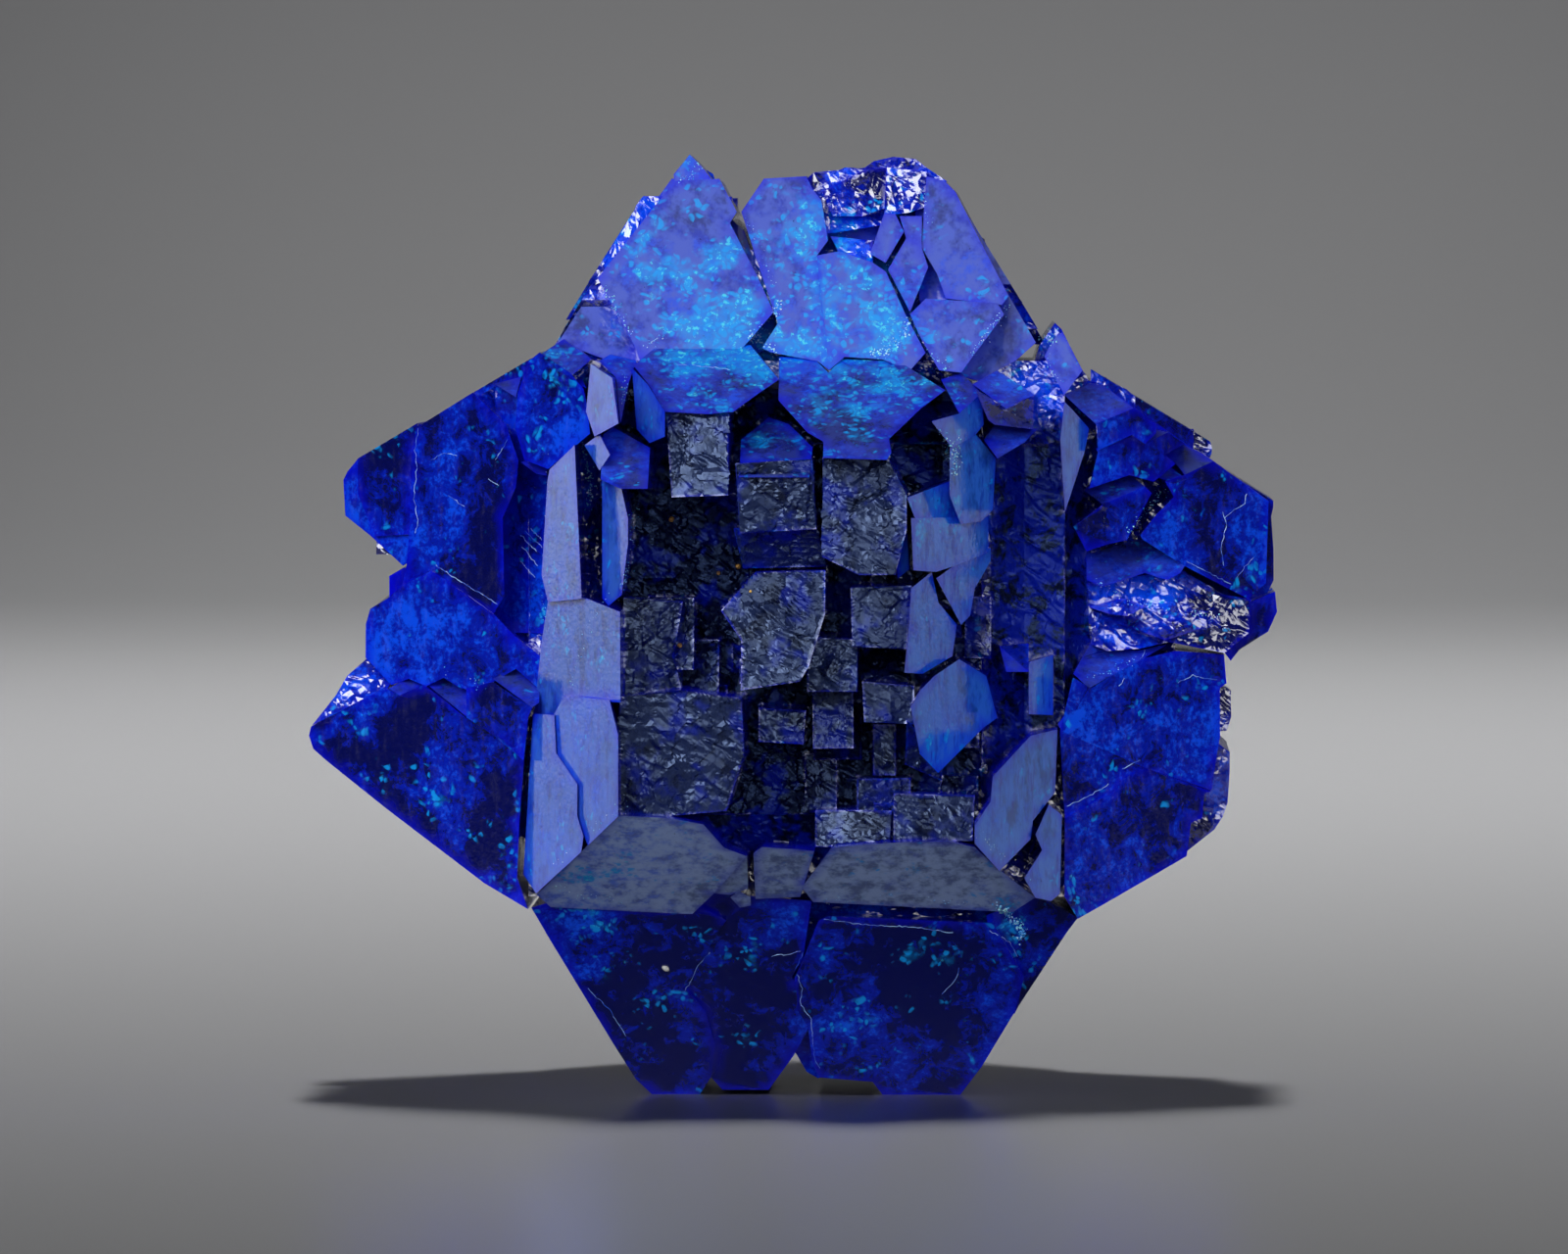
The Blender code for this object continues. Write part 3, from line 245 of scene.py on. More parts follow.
# Middles of the paler clouds seen from the front, in mm from the star's centre: right, up, reach, strength.
AZURE_CLOUDS = (
    (-2.4, 8.1, 1.9, 0.55),
    (-1.2, 6.9, 1.2, 0.45),
    (0.2, 9.0, 0.9, 0.55),
    (1.6, 7.3, 1.7, 0.60),
    (-1.9, 5.8, 1.6, 0.34),
    (1.6, 5.4, 2.2, 0.40),
    (3.2, 3.0, 1.2, 0.35),
    (4.9, -6.9, 0.8, 0.55),
    (-4.6, -5.4, 1.3, 0.25),
    (-5.2, 0.6, 0.9, 0.25),
    (5.4, 5.4, 1.0, 0.30),
    (-5.6, 5.6, 0.8, 0.25),
    (3.2, -3.0, 0.9, 0.30),
)


# Where the healed cracks run and the bright crumbs lie, in the picture plane through the star's centre: mm to the
# right and up. Each is carried back along the camera's line of sight onto the first surface it meets.
CRACKS = (
    ((-2.04, -7.57), (-2.31, -7.86), (-2.44, -8.18), (-2.69, -8.56)),
    ((-0.63, -7.64), (-0.20, -7.59), (0.13, -7.50), (-0.07, -7.93), (0.07, -8.40), (0.02, -8.69), (0.27, -9.09), (0.36, -9.97), (0.52, -10.28)),
    ((-8.69, 4.44), (-8.78, 3.92), (-8.74, 3.52), (-8.80, 2.80), (-8.71, 2.35), (-8.78, 1.95)),
    ((-6.36, 1.99), (-5.94, 1.55)),
    ((-6.25, 2.08), (-5.80, 1.64)),
    ((-6.34, 1.72), (-5.91, 1.23)),
    ((-6.38, 1.41), (-6.00, 0.96)),
    ((-6.14, 2.13), (-5.76, 1.77)),
    ((-8.31, 1.30), (-7.73, 0.92), (-7.24, 0.63), (-6.85, 0.36)),
    ((-8.02, 2.89), (-7.59, 2.60)),
    ((-8.40, 3.70), (-8.13, 3.88), (-7.73, 3.79)),
    ((-6.94, 3.70), (-6.63, 4.23)),
    ((-7.10, 3.29), (-6.79, 3.07)),
    ((6.12, -4.21), (6.65, -3.96), (7.15, -3.67)),
    ((7.39, -3.36), (7.88, -3.11)),
    ((9.70, 1.30), (9.65, 1.68), (9.72, 2.02), (9.77, 2.24), (9.68, 2.58)),
    ((9.72, 2.40), (10.01, 2.60), (10.17, 2.73), (10.24, 3.02)),
    ((8.83, 1.41), (9.18, 1.23), (9.59, 1.01), (9.95, 0.85)),
    ((10.01, 1.01), (10.19, 1.28), (10.46, 1.55)),
    ((8.67, -1.39), (8.85, -1.28), (9.00, -1.21), (9.34, -1.30), (9.65, -1.32)),
    ((7.32, -1.46), (7.50, -1.19)),
    ((7.80, -0.92), (7.95, -0.56)),
    ((-2.42, 5.87), (-1.90, 5.82), (-1.50, 5.76)),
    ((-2.80, 5.89), (-2.46, 5.87)),
    ((-3.38, 6.41), (-3.14, 6.54)),
    ((4.37, -7.06), (4.82, -7.32), (5.04, -7.73)),
    ((0.52, -6.79), (1.46, -6.92), (2.58, -6.97), (3.58, -7.12)),
    ((-4.82, -8.40), (-4.32, -8.89), (-3.92, -9.54)),
    ((3.29, -8.49), (3.58, -8.18), (3.70, -7.84)),
)

CRUMB_LINES = (
    (((-0.43, 7.37), (-0.56, 7.01), (-0.96, 6.56), (-1.14, 6.47)), 90, 0.030),
    (((-4.46, 7.68), (-4.19, 7.17), (-3.81, 6.56)), 46, 0.022),
    (((2.55, 6.92), (2.35, 6.56), (1.97, 6.18), (1.68, 6.14)), 90, 0.032),
    (((-0.99, 6.43), (-0.74, 6.34), (-0.43, 6.07)), 46, 0.024),
    (((-3.47, 6.34), (-3.02, 6.59)), 22, 0.020),
    (((4.82, 7.24), (4.41, 6.74), (3.88, 6.07)), 60, 0.020),
    (((2.91, 6.18), (3.16, 5.98), (3.38, 5.73)), 30, 0.020),
    (((-2.80, 10.10), (-2.44, 10.19), (-2.22, 10.66), (-1.95, 10.26)), 46, 0.020),
    (((5.47, 6.47), (5.85, 6.59), (5.67, 6.34)), 40, 0.026),
    (((5.62, 6.12), (5.82, 5.71), (6.07, 5.44)), 20, 0.018),
    (((-4.95, 4.10), (-4.84, 3.58), (-4.75, 3.02), (-4.86, 2.58)), 110, 0.022),
    (((-4.01, 5.76), (-3.96, 5.31), (-4.05, 5.04)), 30, 0.020),
    (((-3.74, 2.76), (-3.79, 2.02), (-3.90, 1.19), (-4.05, 0.78)), 60, 0.018),
    (((-4.35, 0.67), (-4.82, -0.11), (-5.22, -1.46)), 26, 0.016),
    (((4.55, -6.52), (4.91, -6.79), (5.13, -7.06), (5.04, -7.24)), 120, 0.032),
    (((3.63, 4.23), (3.58, 3.74), (3.52, 3.34)), 60, 0.024),
    (((3.20, 4.37), (3.43, 4.10), (3.38, 3.70)), 50, 0.028),
    (((6.83, 0.92), (7.50, 0.52), (8.62, 0.29), (9.65, 0.07)), 70, 0.018),
    (((6.61, -1.23), (7.28, -1.08), (8.00, -0.67)), 30, 0.016),
    (((7.50, 2.02), (8.00, 2.58), (8.31, 3.02)), 60, 0.020),
    (((-7.06, -1.46), (-7.73, -1.23), (-8.40, -1.23)), 16, 0.014),
    (((-5.58, -6.05), (-4.82, -6.34), (-3.02, -6.43)), 40, 0.016),
    (((0.56, -6.34), (1.90, -6.29), (3.92, -6.43)), 40, 0.016),
    (((-3.92, -4.19), (-4.77, -4.73), (-5.58, -5.58)), 30, 0.016),
    (((4.14, -4.82), (4.73, -5.44), (5.40, -6.03)), 30, 0.016),
    (((-5.71, 3.92), (-5.80, 1.68), (-5.85, -0.11)), 24, 0.016),
    (((0.60, 9.86), (1.01, 8.85), (1.46, 8.44), (2.02, 8.18)), 34, 0.016),
    (((2.02, 10.42), (2.80, 9.97), (2.98, 9.07)), 30, 0.016),
    (((-1.34, 9.41), (-0.90, 8.62), (-0.56, 7.59)), 30, 0.014),
)

# Lint and dust that lie on the star: right, up, length, width and turn in degrees.
LINT = ((-0.54, 5.42, 0.46, 0.17, 4), (-3.05, -7.93, 0.19, 0.12, 30))
DUST = ((-2.91, 2.35, 0.060), (-1.39, 1.28, 0.062), (-1.84, 1.12, 0.040), (-2.71, -0.54, 0.055), (-1.1, 0.7, 0.03))


def front_surface(star):
    """A function that carries a place in the picture plane onto the star, and gives the hit and its normal."""
    tree = BVHTree.FromPolygons(
        [vert.co for vert in star.data.vertices], [face.vertices for face in star.data.polygons]
    )
    eye = bpy.context.scene.camera.location

    def land(right, up):
        target = STAR_CENTRE + Vector((right, 0, up)) * MM
        hit, normal, _, _ = tree.ray_cast(eye, (target - eye).normalized())
        return hit, normal

    return land


def crack_lines(land):
    """Fine tubes half sunk in the faces, each with a slight wander."""
    data = bpy.data.curves.new("healed_cracks", "CURVE")
    data.dimensions = "3D"
    data.bevel_depth = 0.011 * MM
    data.bevel_resolution = 0
    data.use_fill_caps = True
    chance = random.Random(19)
    for line in CRACKS:
        places = []
        for (x0, z0), (x1, z1) in zip(line, line[1:]):
            steps = max(int(math.hypot(x1 - x0, z1 - z0) / 0.07), 1)
            for step in range(steps):
                share = step / steps
                wander = 0.018
                places.append((
                    x0 + (x1 - x0) * share + chance.uniform(-wander, wander),
                    z0 + (z1 - z0) * share + chance.uniform(-wander, wander),
                ))
        run = []
        for place in places + [None]:
            hit = land(*place)[0] if place else None
            if hit and (not run or (hit - run[-1]).length < 0.25 * MM):
                run.append(hit)
                continue
            if len(run) > 2:
                spline = data.splines.new("POLY")
                spline.points.add(len(run) - 1)
                for point, co in zip(spline.points, run):
                    point.co = (*co, 1)
                    point.radius = chance.uniform(0.45, 1.0)
            run = [hit] if hit else []
    cracks = bpy.data.objects.new("healed_cracks", data)
    bpy.context.scene.collection.objects.link(cracks)
    return cracks


def crumb_heaps(land):
    """Small bright crystals crowded along the edges where neighbouring plates meet."""
    bm = bmesh.new()
    chance = random.Random(41)
    for line, count, size in CRUMB_LINES:
        for _ in range(count):
            at = chance.uniform(0, len(line) - 1.001)
            (x0, z0), (x1, z1) = line[int(at)], line[int(at) + 1]
            share = at - int(at)
            spread = abs(chance.gauss(0, 0.07)) + 0.01
            turn = chance.uniform(0, math.tau)
            hit, normal = land(
                x0 + (x1 - x0) * share + spread * math.cos(turn), z0 + (z1 - z0) * share + spread * math.sin(turn)
            )
            if hit is None:
                continue
            radius = size * chance.uniform(0.35, 1.15) * MM
            shape = Matrix.Diagonal((chance.uniform(0.6, 1.3), chance.uniform(0.6, 1.3), chance.uniform(0.5, 1.0), 1))
            spin = Matrix.Rotation(chance.uniform(0, math.tau), 4, "Z") @ Matrix.Rotation(chance.uniform(0, 3), 4, "X")
            bmesh.ops.create_icosphere(
                bm, subdivisions=1, radius=radius, matrix=Matrix.Translation(hit) @ spin @ shape
            )
    return finished(bm, "edge_crumbs")


def finished(bm, name):
    mesh = bpy.data.meshes.new(name)
    bm.to_mesh(mesh)
    bm.free()
    piece = bpy.data.objects.new(name, mesh)
    bpy.context.scene.collection.objects.link(piece)
    return piece


def lint_flecks(land):
    bm = bmesh.new()
    for right, up, length, width, turn in LINT:
        hit, normal = land(right, up)
        spin = Matrix.Rotation(math.radians(turn), 4, "Y")
        shape = Matrix.Diagonal((length / 2, width / 2, width / 2, 1))
        bmesh.ops.create_icosphere(
            bm, subdivisions=2, radius=MM, matrix=Matrix.Translation(hit - Vector((0, 0.03 * MM, 0))) @ spin @ shape
        )
    for vert in bm.verts:
        vert.co += noise.noise_vector(vert.co / MM * 14) * 0.012 * MM
    return finished(bm, "lint_flecks")


def dust_grains(land):
    bm = bmesh.new()
    for right, up, radius in DUST:
        hit, normal = land(right, up)
        bmesh.ops.create_icosphere(
            bm, subdivisions=2, radius=radius * MM, matrix=Matrix.Translation(hit + normal * radius * 0.5 * MM)
        )
    for vert in bm.verts:
        vert.co += noise.noise_vector(vert.co / MM * 17) * 0.010 * MM
    return finished(bm, "dust_grains")


# ---- materials

def node_tree(name):
    material = bpy.data.materials.new(name)
    material.use_nodes = True
    tree = material.node_tree
    shader = tree.nodes["Principled BSDF"]
    return material, tree, shader


def add(tree, kind, **settings):
    node = tree.nodes.new(kind)
    for name, value in settings.items():
        setattr(node, name, value)
    return node


def set_inputs(node, **values):
    for name, value in values.items():
        node.inputs[name.replace("_", " ")].default_value = value


def mixed(tree, share, first, second, blend="MIX"):
    """A colour mix. Each of share, first and second is a socket or a value."""
    node = add(tree, "ShaderNodeMix", data_type="RGBA", blend_type=blend, clamp_factor=True)
    for socket, value in ((node.inputs[0], share), (node.inputs[6], first), (node.inputs[7], second)):
        if isinstance(value, bpy.types.NodeSocket):
            tree.links.new(value, socket)
        else:
            socket.default_value = value
    return node.outputs[2]


def maths(tree, operation, first, second=0.0, clamp=False):
    node = add(tree, "ShaderNodeMath", operation=operation, use_clamp=clamp)
    for socket, value in zip(node.inputs, (first, second)):
        if isinstance(value, bpy.types.NodeSocket):
            tree.links.new(value, socket)
        else:
            socket.default_value = value
    return node.outputs[0]


def ranged(tree, value, low, high, to_low=0.0, to_high=1.0):
    node = add(tree, "ShaderNodeMapRange", interpolation_type="SMOOTHSTEP")
    tree.links.new(value, node.inputs["Value"])
    set_inputs(node, From_Min=low, From_Max=high, To_Min=to_low, To_Max=to_high)
    return node.outputs["Result"]


def place_mm(tree, stretch=(1, 1, 1), turn=0.0):
    """Object coordinates in millimetres, turned about Y and then stretched."""
    coordinates = add(tree, "ShaderNodeTexCoord")
    mapping = add(tree, "ShaderNodeMapping", vector_type="TEXTURE")
    mapping.inputs["Scale"].default_value = [MM / one for one in stretch]
    mapping.inputs["Rotation"].default_value = (0, math.radians(turn), 0)
    tree.links.new(coordinates.outputs["Object"], mapping.inputs["Vector"])
    return mapping.outputs["Vector"]


def cloud(tree, place, scale, detail=3.0, roughness=0.6, distortion=0.0):
    node = add(tree, "ShaderNodeTexNoise")
    tree.links.new(place, node.inputs["Vector"])
    set_inputs(node, Scale=scale, Detail=detail, Roughness=roughness, Distortion=distortion)
    return node.outputs[0]


def attribute(tree, name):
    return add(tree, "ShaderNodeAttribute", attribute_name=name).outputs["Fac"]


NAVY = (0.0003, 0.002, 0.085, 1)
ULTRAMARINE = (0.0006, 0.011, 0.42, 1)
ROYAL = (0.002, 0.075, 0.88, 1)
AZURE = (0.003, 0.36, 0.97, 1)
CYAN = (0.08, 0.78, 0.97, 1)
# Painted glow of light shining through the walls between plates.
GAP_GLOW_BLUE = (0.0001, 0.0004, 0.80, 1)
SLATE = (0.006, 0.012, 0.050, 1)
# Painted light: a brighter blue for the plates, a pale painted reflection of the floor, and a lavender painted sheen.
PLATE_LIGHT_BLUE = (0.012, 0.24, 0.97, 1)
FLOOR_REFLECTION_PALE = (0.42, 0.58, 0.96, 1)
SHEEN_LAVENDER = (0.075, 0.125, 0.62, 1)
INK = (0.0008, 0.0015, 0.012, 1)
INNER_BLUE = (0.0004, 0.006, 0.24, 1)
PIT = (0.004, 0.006, 0.03, 1)


def voronoi(tree, place, scale, feature="F1", smoothness=None):
    node = add(tree, "ShaderNodeTexVoronoi", feature=feature)
    tree.links.new(place, node.inputs["Vector"])
    node.inputs["Scale"].default_value = scale
    return node


def wandering(tree, place, scale, reach):
    """The place, pushed about by a soft noise, so that cells and pits aren't round."""
    node = add(tree, "ShaderNodeTexNoise")
    tree.links.new(place, node.inputs["Vector"])
    set_inputs(node, Scale=scale, Detail=0.0)
    push = add(tree, "ShaderNodeVectorMath", operation="MULTIPLY_ADD")
    tree.links.new(node.outputs["Color"], push.inputs[0])
    push.inputs[1].default_value = (reach, reach, reach)
    tree.links.new(place, push.inputs[2])
    return push.outputs[0]


def cumengeite_material():
    material, tree, shader = node_tree("cumengeite")
    place = place_mm(tree)
    bent = wandering(tree, place, 3.0, 0.35)
    wide = cloud(tree, place, 0.50, 1.0, 0.6)
    patches = cloud(tree, place, 1.9, 4.0, 0.76, 0.4)
    grain = cloud(tree, place, 9.0, 3.0, 0.7)
    azure = attribute(tree, "azure")
    broken = attribute(tree, "broken")
    hollow = attribute(tree, "hollow")
    wall = attribute(tree, "wall")
    recess = attribute(tree, "recess")
    reach = attribute(tree, "reach")
    painted_plate_light = attribute(tree, "painted_plate_light")
    painted_floor_reflection = attribute(tree, "painted_floor_reflection")
    painted_lavender_sheen = attribute(tree, "painted_lavender_sheen")
    rim = attribute(tree, "rim")
    tint = attribute(tree, "tint")

    # Clouds inside the crystal: navy, then ultramarine and royal blue, in patches that differ from plate to plate.
    depth = maths(tree, "ADD", maths(tree, "MULTIPLY", patches, 0.55), maths(tree, "MULTIPLY", wide, 0.45))
    depth = maths(tree, "ADD", depth, maths(tree, "MULTIPLY", maths(tree, "SUBTRACT", tint, 0.5), 0.10))
    depth = maths(tree, "ADD", depth, maths(tree, "MULTIPLY", azure, 0.16))
    colour = mixed(tree, ranged(tree, depth, 0.45, 0.55), NAVY, ULTRAMARINE)
    grainy = maths(tree, "ADD", depth, maths(tree, "MULTIPLY", maths(tree, "SUBTRACT", grain, 0.5), 0.30))
    colour = mixed(tree, ranged(tree, grainy, 0.54, 0.66), colour, ROYAL)

    # Painted light in uneven patches: the plates of the hollow arm get a brighter painted blue and, where they face
    # down, a pale painted reflection of the floor, and a lavender painted sheen lies on the upper arm.
    sheen_patches = cloud(tree, place_mm(tree, (1, 1, 0.6)), 2.4, 3.0, 0.7)
    patchy = ranged(tree, sheen_patches, 0.34, 0.60, 0.35, 1.0)
    colour = mixed(tree, maths(tree, "MULTIPLY", painted_plate_light, patchy), colour, PLATE_LIGHT_BLUE)
    colour = mixed(tree, maths(tree, "MULTIPLY", painted_floor_reflection, patchy), colour, FLOOR_REFLECTION_PALE)
    colour = mixed(tree, maths(tree, "MULTIPLY", painted_lavender_sheen, patchy), colour, SHEEN_LAVENDER)
    streaks = cloud(tree, place_mm(tree, (1, 1, 0.22)), 6.0, 3.0, 0.65)
    streaky = maths(tree, "MULTIPLY", painted_plate_light, ranged(tree, streaks, 0.54, 0.66))
    colour = mixed(tree, maths(tree, "MULTIPLY", streaky, 0.6), colour, ULTRAMARINE)

    # Small paler cells crowd together in clumps where a cloud comes near the surface.
    cells = voronoi(tree, bent, 7.0)
    pick = add(tree, "ShaderNodeSeparateColor")
    tree.links.new(cells.outputs["Color"], pick.inputs[0])
    clumps = cloud(tree, place, 1.05, 3.0, 0.65)
    cloudy = maths(tree, "ADD", maths(tree, "MULTIPLY", azure, 0.50), maths(tree, "MULTIPLY", clumps, 1.5))
    colour = mixed(tree, ranged(tree, cloudy, 1.02, 1.30, 0.0, 0.55), colour, AZURE)
    crowd = maths(tree, "SUBTRACT", cloudy, maths(tree, "MULTIPLY", pick.outputs[0], 0.50))
    paler = maths(tree, "MULTIPLY", ranged(tree, crowd, 0.82, 0.98), ranged(tree, cells.outputs["Distance"], 0.70, 0.35))
    colour = mixed(tree, maths(tree, "MULTIPLY", paler, 0.80), colour, AZURE)
    bright = maths(tree, "MULTIPLY", ranged(tree, crowd, 1.00, 1.16), ranged(tree, grain, 0.52, 0.60))
    colour = mixed(tree, maths(tree, "MULTIPLY", bright, 0.8), colour, CYAN)

    # Pits and dark specks.
    pit = maths(tree, "MULTIPLY", ranged(tree, grain, 0.31, 0.26), maths(tree, "SUBTRACT", 1.0, broken))
    colour = mixed(tree, maths(tree, "MULTIPLY", pit, 0.9), colour, PIT)

    # Bright crumbs along edges.
    crumbs = maths(tree, "MULTIPLY", ranged(tree, rim, 0.55, 0.98), ranged(tree, grain, 0.56, 0.60))
    crumbs = maths(tree, "MULTIPLY", crumbs, ranged(tree, patches, 0.52, 0.60))
    colour = mixed(tree, maths(tree, "MULTIPLY", crumbs, 0.8), colour, CYAN)

    # Walls between plates carry the crystal's deep blue brightened into a painted glow of light shining through it,
    # fainter further back. Column ends are slate to ink with patches of blue, and deeper in the hollow they carry
    # painted shade.
    colour = mixed(tree, maths(tree, "MULTIPLY", wall, 0.92), colour, GAP_GLOW_BLUE)
    ends = maths(tree, "MULTIPLY", broken, hollow)
    veined = cloud(tree, place, 1.1, 3.0, 0.66)
    # Painted shade by depth: ends further forward lean to slate, deeper ones to ink and deep blue.
    inner = mixed(tree, ranged(tree, maths(tree, "ADD", veined, maths(tree, "MULTIPLY", reach, 0.12)), 0.46, 0.60), INK, SLATE)
    inner = mixed(tree, ranged(tree, clumps, 0.50, 0.66, 0.0, 0.7), inner, INNER_BLUE)
    inner = mixed(tree, ranged(tree, reach, 0.25, 0.0), inner, mixed(tree, ranged(tree, veined, 0.50, 0.60), INK, INNER_BLUE))
    colour = mixed(tree, ends, colour, inner)
    # Painted shade: the broken faces in the recess beside the right arm are darkened to ink and deep blue, and their
    # glints are dimmed.
    painted_recess_shade = maths(tree, "MULTIPLY", broken, recess)
    colour = mixed(tree, painted_recess_shade, colour, mixed(tree, ranged(tree, patches, 0.40, 0.54), INK, INNER_BLUE))
    tree.links.new(colour, shader.inputs["Base Color"])

    gloss = maths(tree, "ADD", ranged(tree, grain, 0.35, 0.65, 0.06, 0.14), ranged(tree, streaks, 0.45, 0.70, 0.0, 0.12))
    gloss = maths(tree, "ADD", gloss, maths(tree, "MULTIPLY", maths(tree, "ADD", ends, painted_recess_shade), 0.16))
    gloss = maths(tree, "ADD", gloss, maths(tree, "MULTIPLY", pit, 0.1))
    tree.links.new(gloss, shader.inputs["Roughness"])
    # The column ends are dull: their glints are weak and bluish, and they are dimmed further deeper in the hollow and
    # in the recess, which is painted shade.
    dull = maths(tree, "ADD", maths(tree, "ADD", ends, painted_recess_shade), pit, clamp=True)
    weak = mixed(tree, ranged(tree, reach, 0.02, 0.30), (0.06, 0.10, 0.24, 1), (0.22, 0.30, 0.50, 1))
    tree.links.new(mixed(tree, dull, (1, 1, 1, 1), weak), shader.inputs["Specular Tint"])
    see_through = maths(tree, "SUBTRACT", 0.18, maths(tree, "MULTIPLY", broken, 0.12))
    tree.links.new(see_through, shader.inputs["Transmission Weight"])
    set_inputs(shader, IOR=2.03)

    # Growth faces are nearly flat with a faint grain; broken ones are rough down to the finest scale.
    fine = cloud(tree, place, 9.0, 1.0, 0.7)
    smooth_lift = add(tree, "ShaderNodeBump")
    tree.links.new(fine, smooth_lift.inputs["Height"])
    smooth_lift.inputs["Strength"].default_value = 0.07
    smooth_lift.inputs["Distance"].default_value = 0.05 * MM
    ridges = add(tree, "ShaderNodeTexNoise", noise_type="RIDGED_MULTIFRACTAL")
    tree.links.new(place_mm(tree, (1.0, 1.0, 2.3), 32), ridges.inputs["Vector"])
    set_inputs(ridges, Scale=1.7, Detail=3.0, Roughness=0.62, Lacunarity=2.3, Distortion=0.5)
    rough_lift = add(tree, "ShaderNodeBump")
    tree.links.new(ridges.outputs[0], rough_lift.inputs["Height"])
    tree.links.new(maths(tree, "MULTIPLY", broken, 0.75), rough_lift.inputs["Strength"])
    rough_lift.inputs["Distance"].default_value = 0.12 * MM
    tree.links.new(smooth_lift.outputs["Normal"], rough_lift.inputs["Normal"])
    tree.links.new(rough_lift.outputs["Normal"], shader.inputs["Normal"])

    inside = add(tree, "ShaderNodeVolumeAbsorption")
    inside.inputs["Color"].default_value = (0.0, 0.12, 0.92, 1)
    inside.inputs["Density"].default_value = 1100.0
    tree.links.new(inside.outputs[0], tree.nodes["Material Output"].inputs["Volume"])
    return material


def crumb_material():
    material, tree, shader = node_tree("bright_crumbs")
    place = place_mm(tree)
    drift = cloud(tree, place, 3.0, 2.0, 0.5)
    speck = cloud(tree, place, 26.0, 1.0, 0.5)
    colour = mixed(tree, ranged(tree, drift, 0.42, 0.62), (0.02, 0.36, 0.95, 1), (0.28, 0.86, 1.0, 1))
    colour = mixed(tree, ranged(tree, speck, 0.56, 0.66), colour, (0.80, 0.96, 1.0, 1))
    tree.links.new(colour, shader.inputs["Base Color"])
    tree.links.new(ranged(tree, speck, 0.3, 0.7, 0.15, 0.45), shader.inputs["Roughness"])
    set_inputs(shader, IOR=2.03)
    shader.inputs["Transmission Weight"].default_value = 0.15
    return material


def crack_material():
    material, tree, shader = node_tree("healed_crack")
    place = place_mm(tree)
    drift = cloud(tree, place, 2.2, 3.0, 0.6)
    colour = mixed(tree, ranged(tree, drift, 0.40, 0.60), (0.03, 0.10, 0.60, 1), (0.30, 0.52, 0.88, 1))
    tree.links.new(colour, shader.inputs["Base Color"])
    tree.links.new(ranged(tree, drift, 0.3, 0.7, 0.2, 0.4), shader.inputs["Roughness"])
    set_inputs(shader, IOR=2.03)
    return material


def fibre_material():
    material, tree, shader = node_tree("white_lint")
    place = place_mm(tree, (1, 1, 4))
    strand = cloud(tree, place, 9.0, 3.0, 0.7)
    colour = mixed(tree, ranged(tree, strand, 0.35, 0.65), (0.30, 0.30, 0.28, 1), (0.52, 0.52, 0.50, 1))
    tree.links.new(colour, shader.inputs["Base Color"])
    tree.links.new(ranged(tree, strand, 0.3, 0.7, 0.6, 0.85), shader.inputs["Roughness"])
    lift = add(tree, "ShaderNodeBump")
    tree.links.new(strand, lift.inputs["Height"])
    lift.inputs["Strength"].default_value = 0.6
    lift.inputs["Distance"].default_value = 0.03 * MM
    tree.links.new(lift.outputs["Normal"], shader.inputs["Normal"])
    return material


def ochre_material():
    material, tree, shader = node_tree("ochre_grain")
    place = place_mm(tree)
    drift = cloud(tree, place, 14.0, 3.0, 0.6)
    colour = mixed(tree, ranged(tree, drift, 0.38, 0.62), (0.22, 0.09, 0.012, 1), (0.80, 0.45, 0.09, 1))
    tree.links.new(colour, shader.inputs["Base Color"])
    tree.links.new(ranged(tree, drift, 0.3, 0.7, 0.35, 0.7), shader.inputs["Roughness"])
    return material


# ---- studio

def backdrop():
    """A pale floor that sweeps up behind the star."""
    bm = bmesh.new()
    near, turn, radius, top = -1.4, 0.45, 0.35, 1.4
    corners = [bm.verts.new((x, near, 0)) for x in (-1.6, 1.6)]
    front = bm.edges.new(corners)
    flat = bmesh.ops.extrude_edge_only(bm, edges=[front])
    moved = [part for part in flat["geom"] if isinstance(part, bmesh.types.BMVert)]
    bmesh.ops.translate(bm, verts=moved, vec=(0, turn - near, 0))
    rear = [part for part in flat["geom"] if isinstance(part, bmesh.types.BMEdge)]
    bmesh.ops.spin(
        bm, geom=rear, cent=(0, turn, radius), axis=(1, 0, 0), angle=math.radians(90), steps=24,
        use_duplicate=False,
    )
    back = [edge for edge in bm.edges if all(abs(vert.co.z - radius) < 1e-5 for vert in edge.verts)]
    wall = bmesh.ops.extrude_edge_only(bm, edges=back)
    moved = [part for part in wall["geom"] if isinstance(part, bmesh.types.BMVert)]
    bmesh.ops.translate(bm, verts=moved, vec=(0, 0, top - radius))
    bmesh.ops.recalc_face_normals(bm, faces=bm.faces)
    mesh = bpy.data.meshes.new("backdrop")
    for face in bm.faces:
        face.smooth = True
    bm.to_mesh(mesh)
    bm.free()
    sweep = bpy.data.objects.new("backdrop", mesh)
    bpy.context.scene.collection.objects.link(sweep)
    material, tree, shader = node_tree("pale_floor")
    set_inputs(shader, Base_Color=(0.42, 0.42, 0.43, 1), Roughness=0.26)
    shader.inputs["Specular IOR Level"].default_value = 0.4
    mesh.materials.append(material)
    return sweep


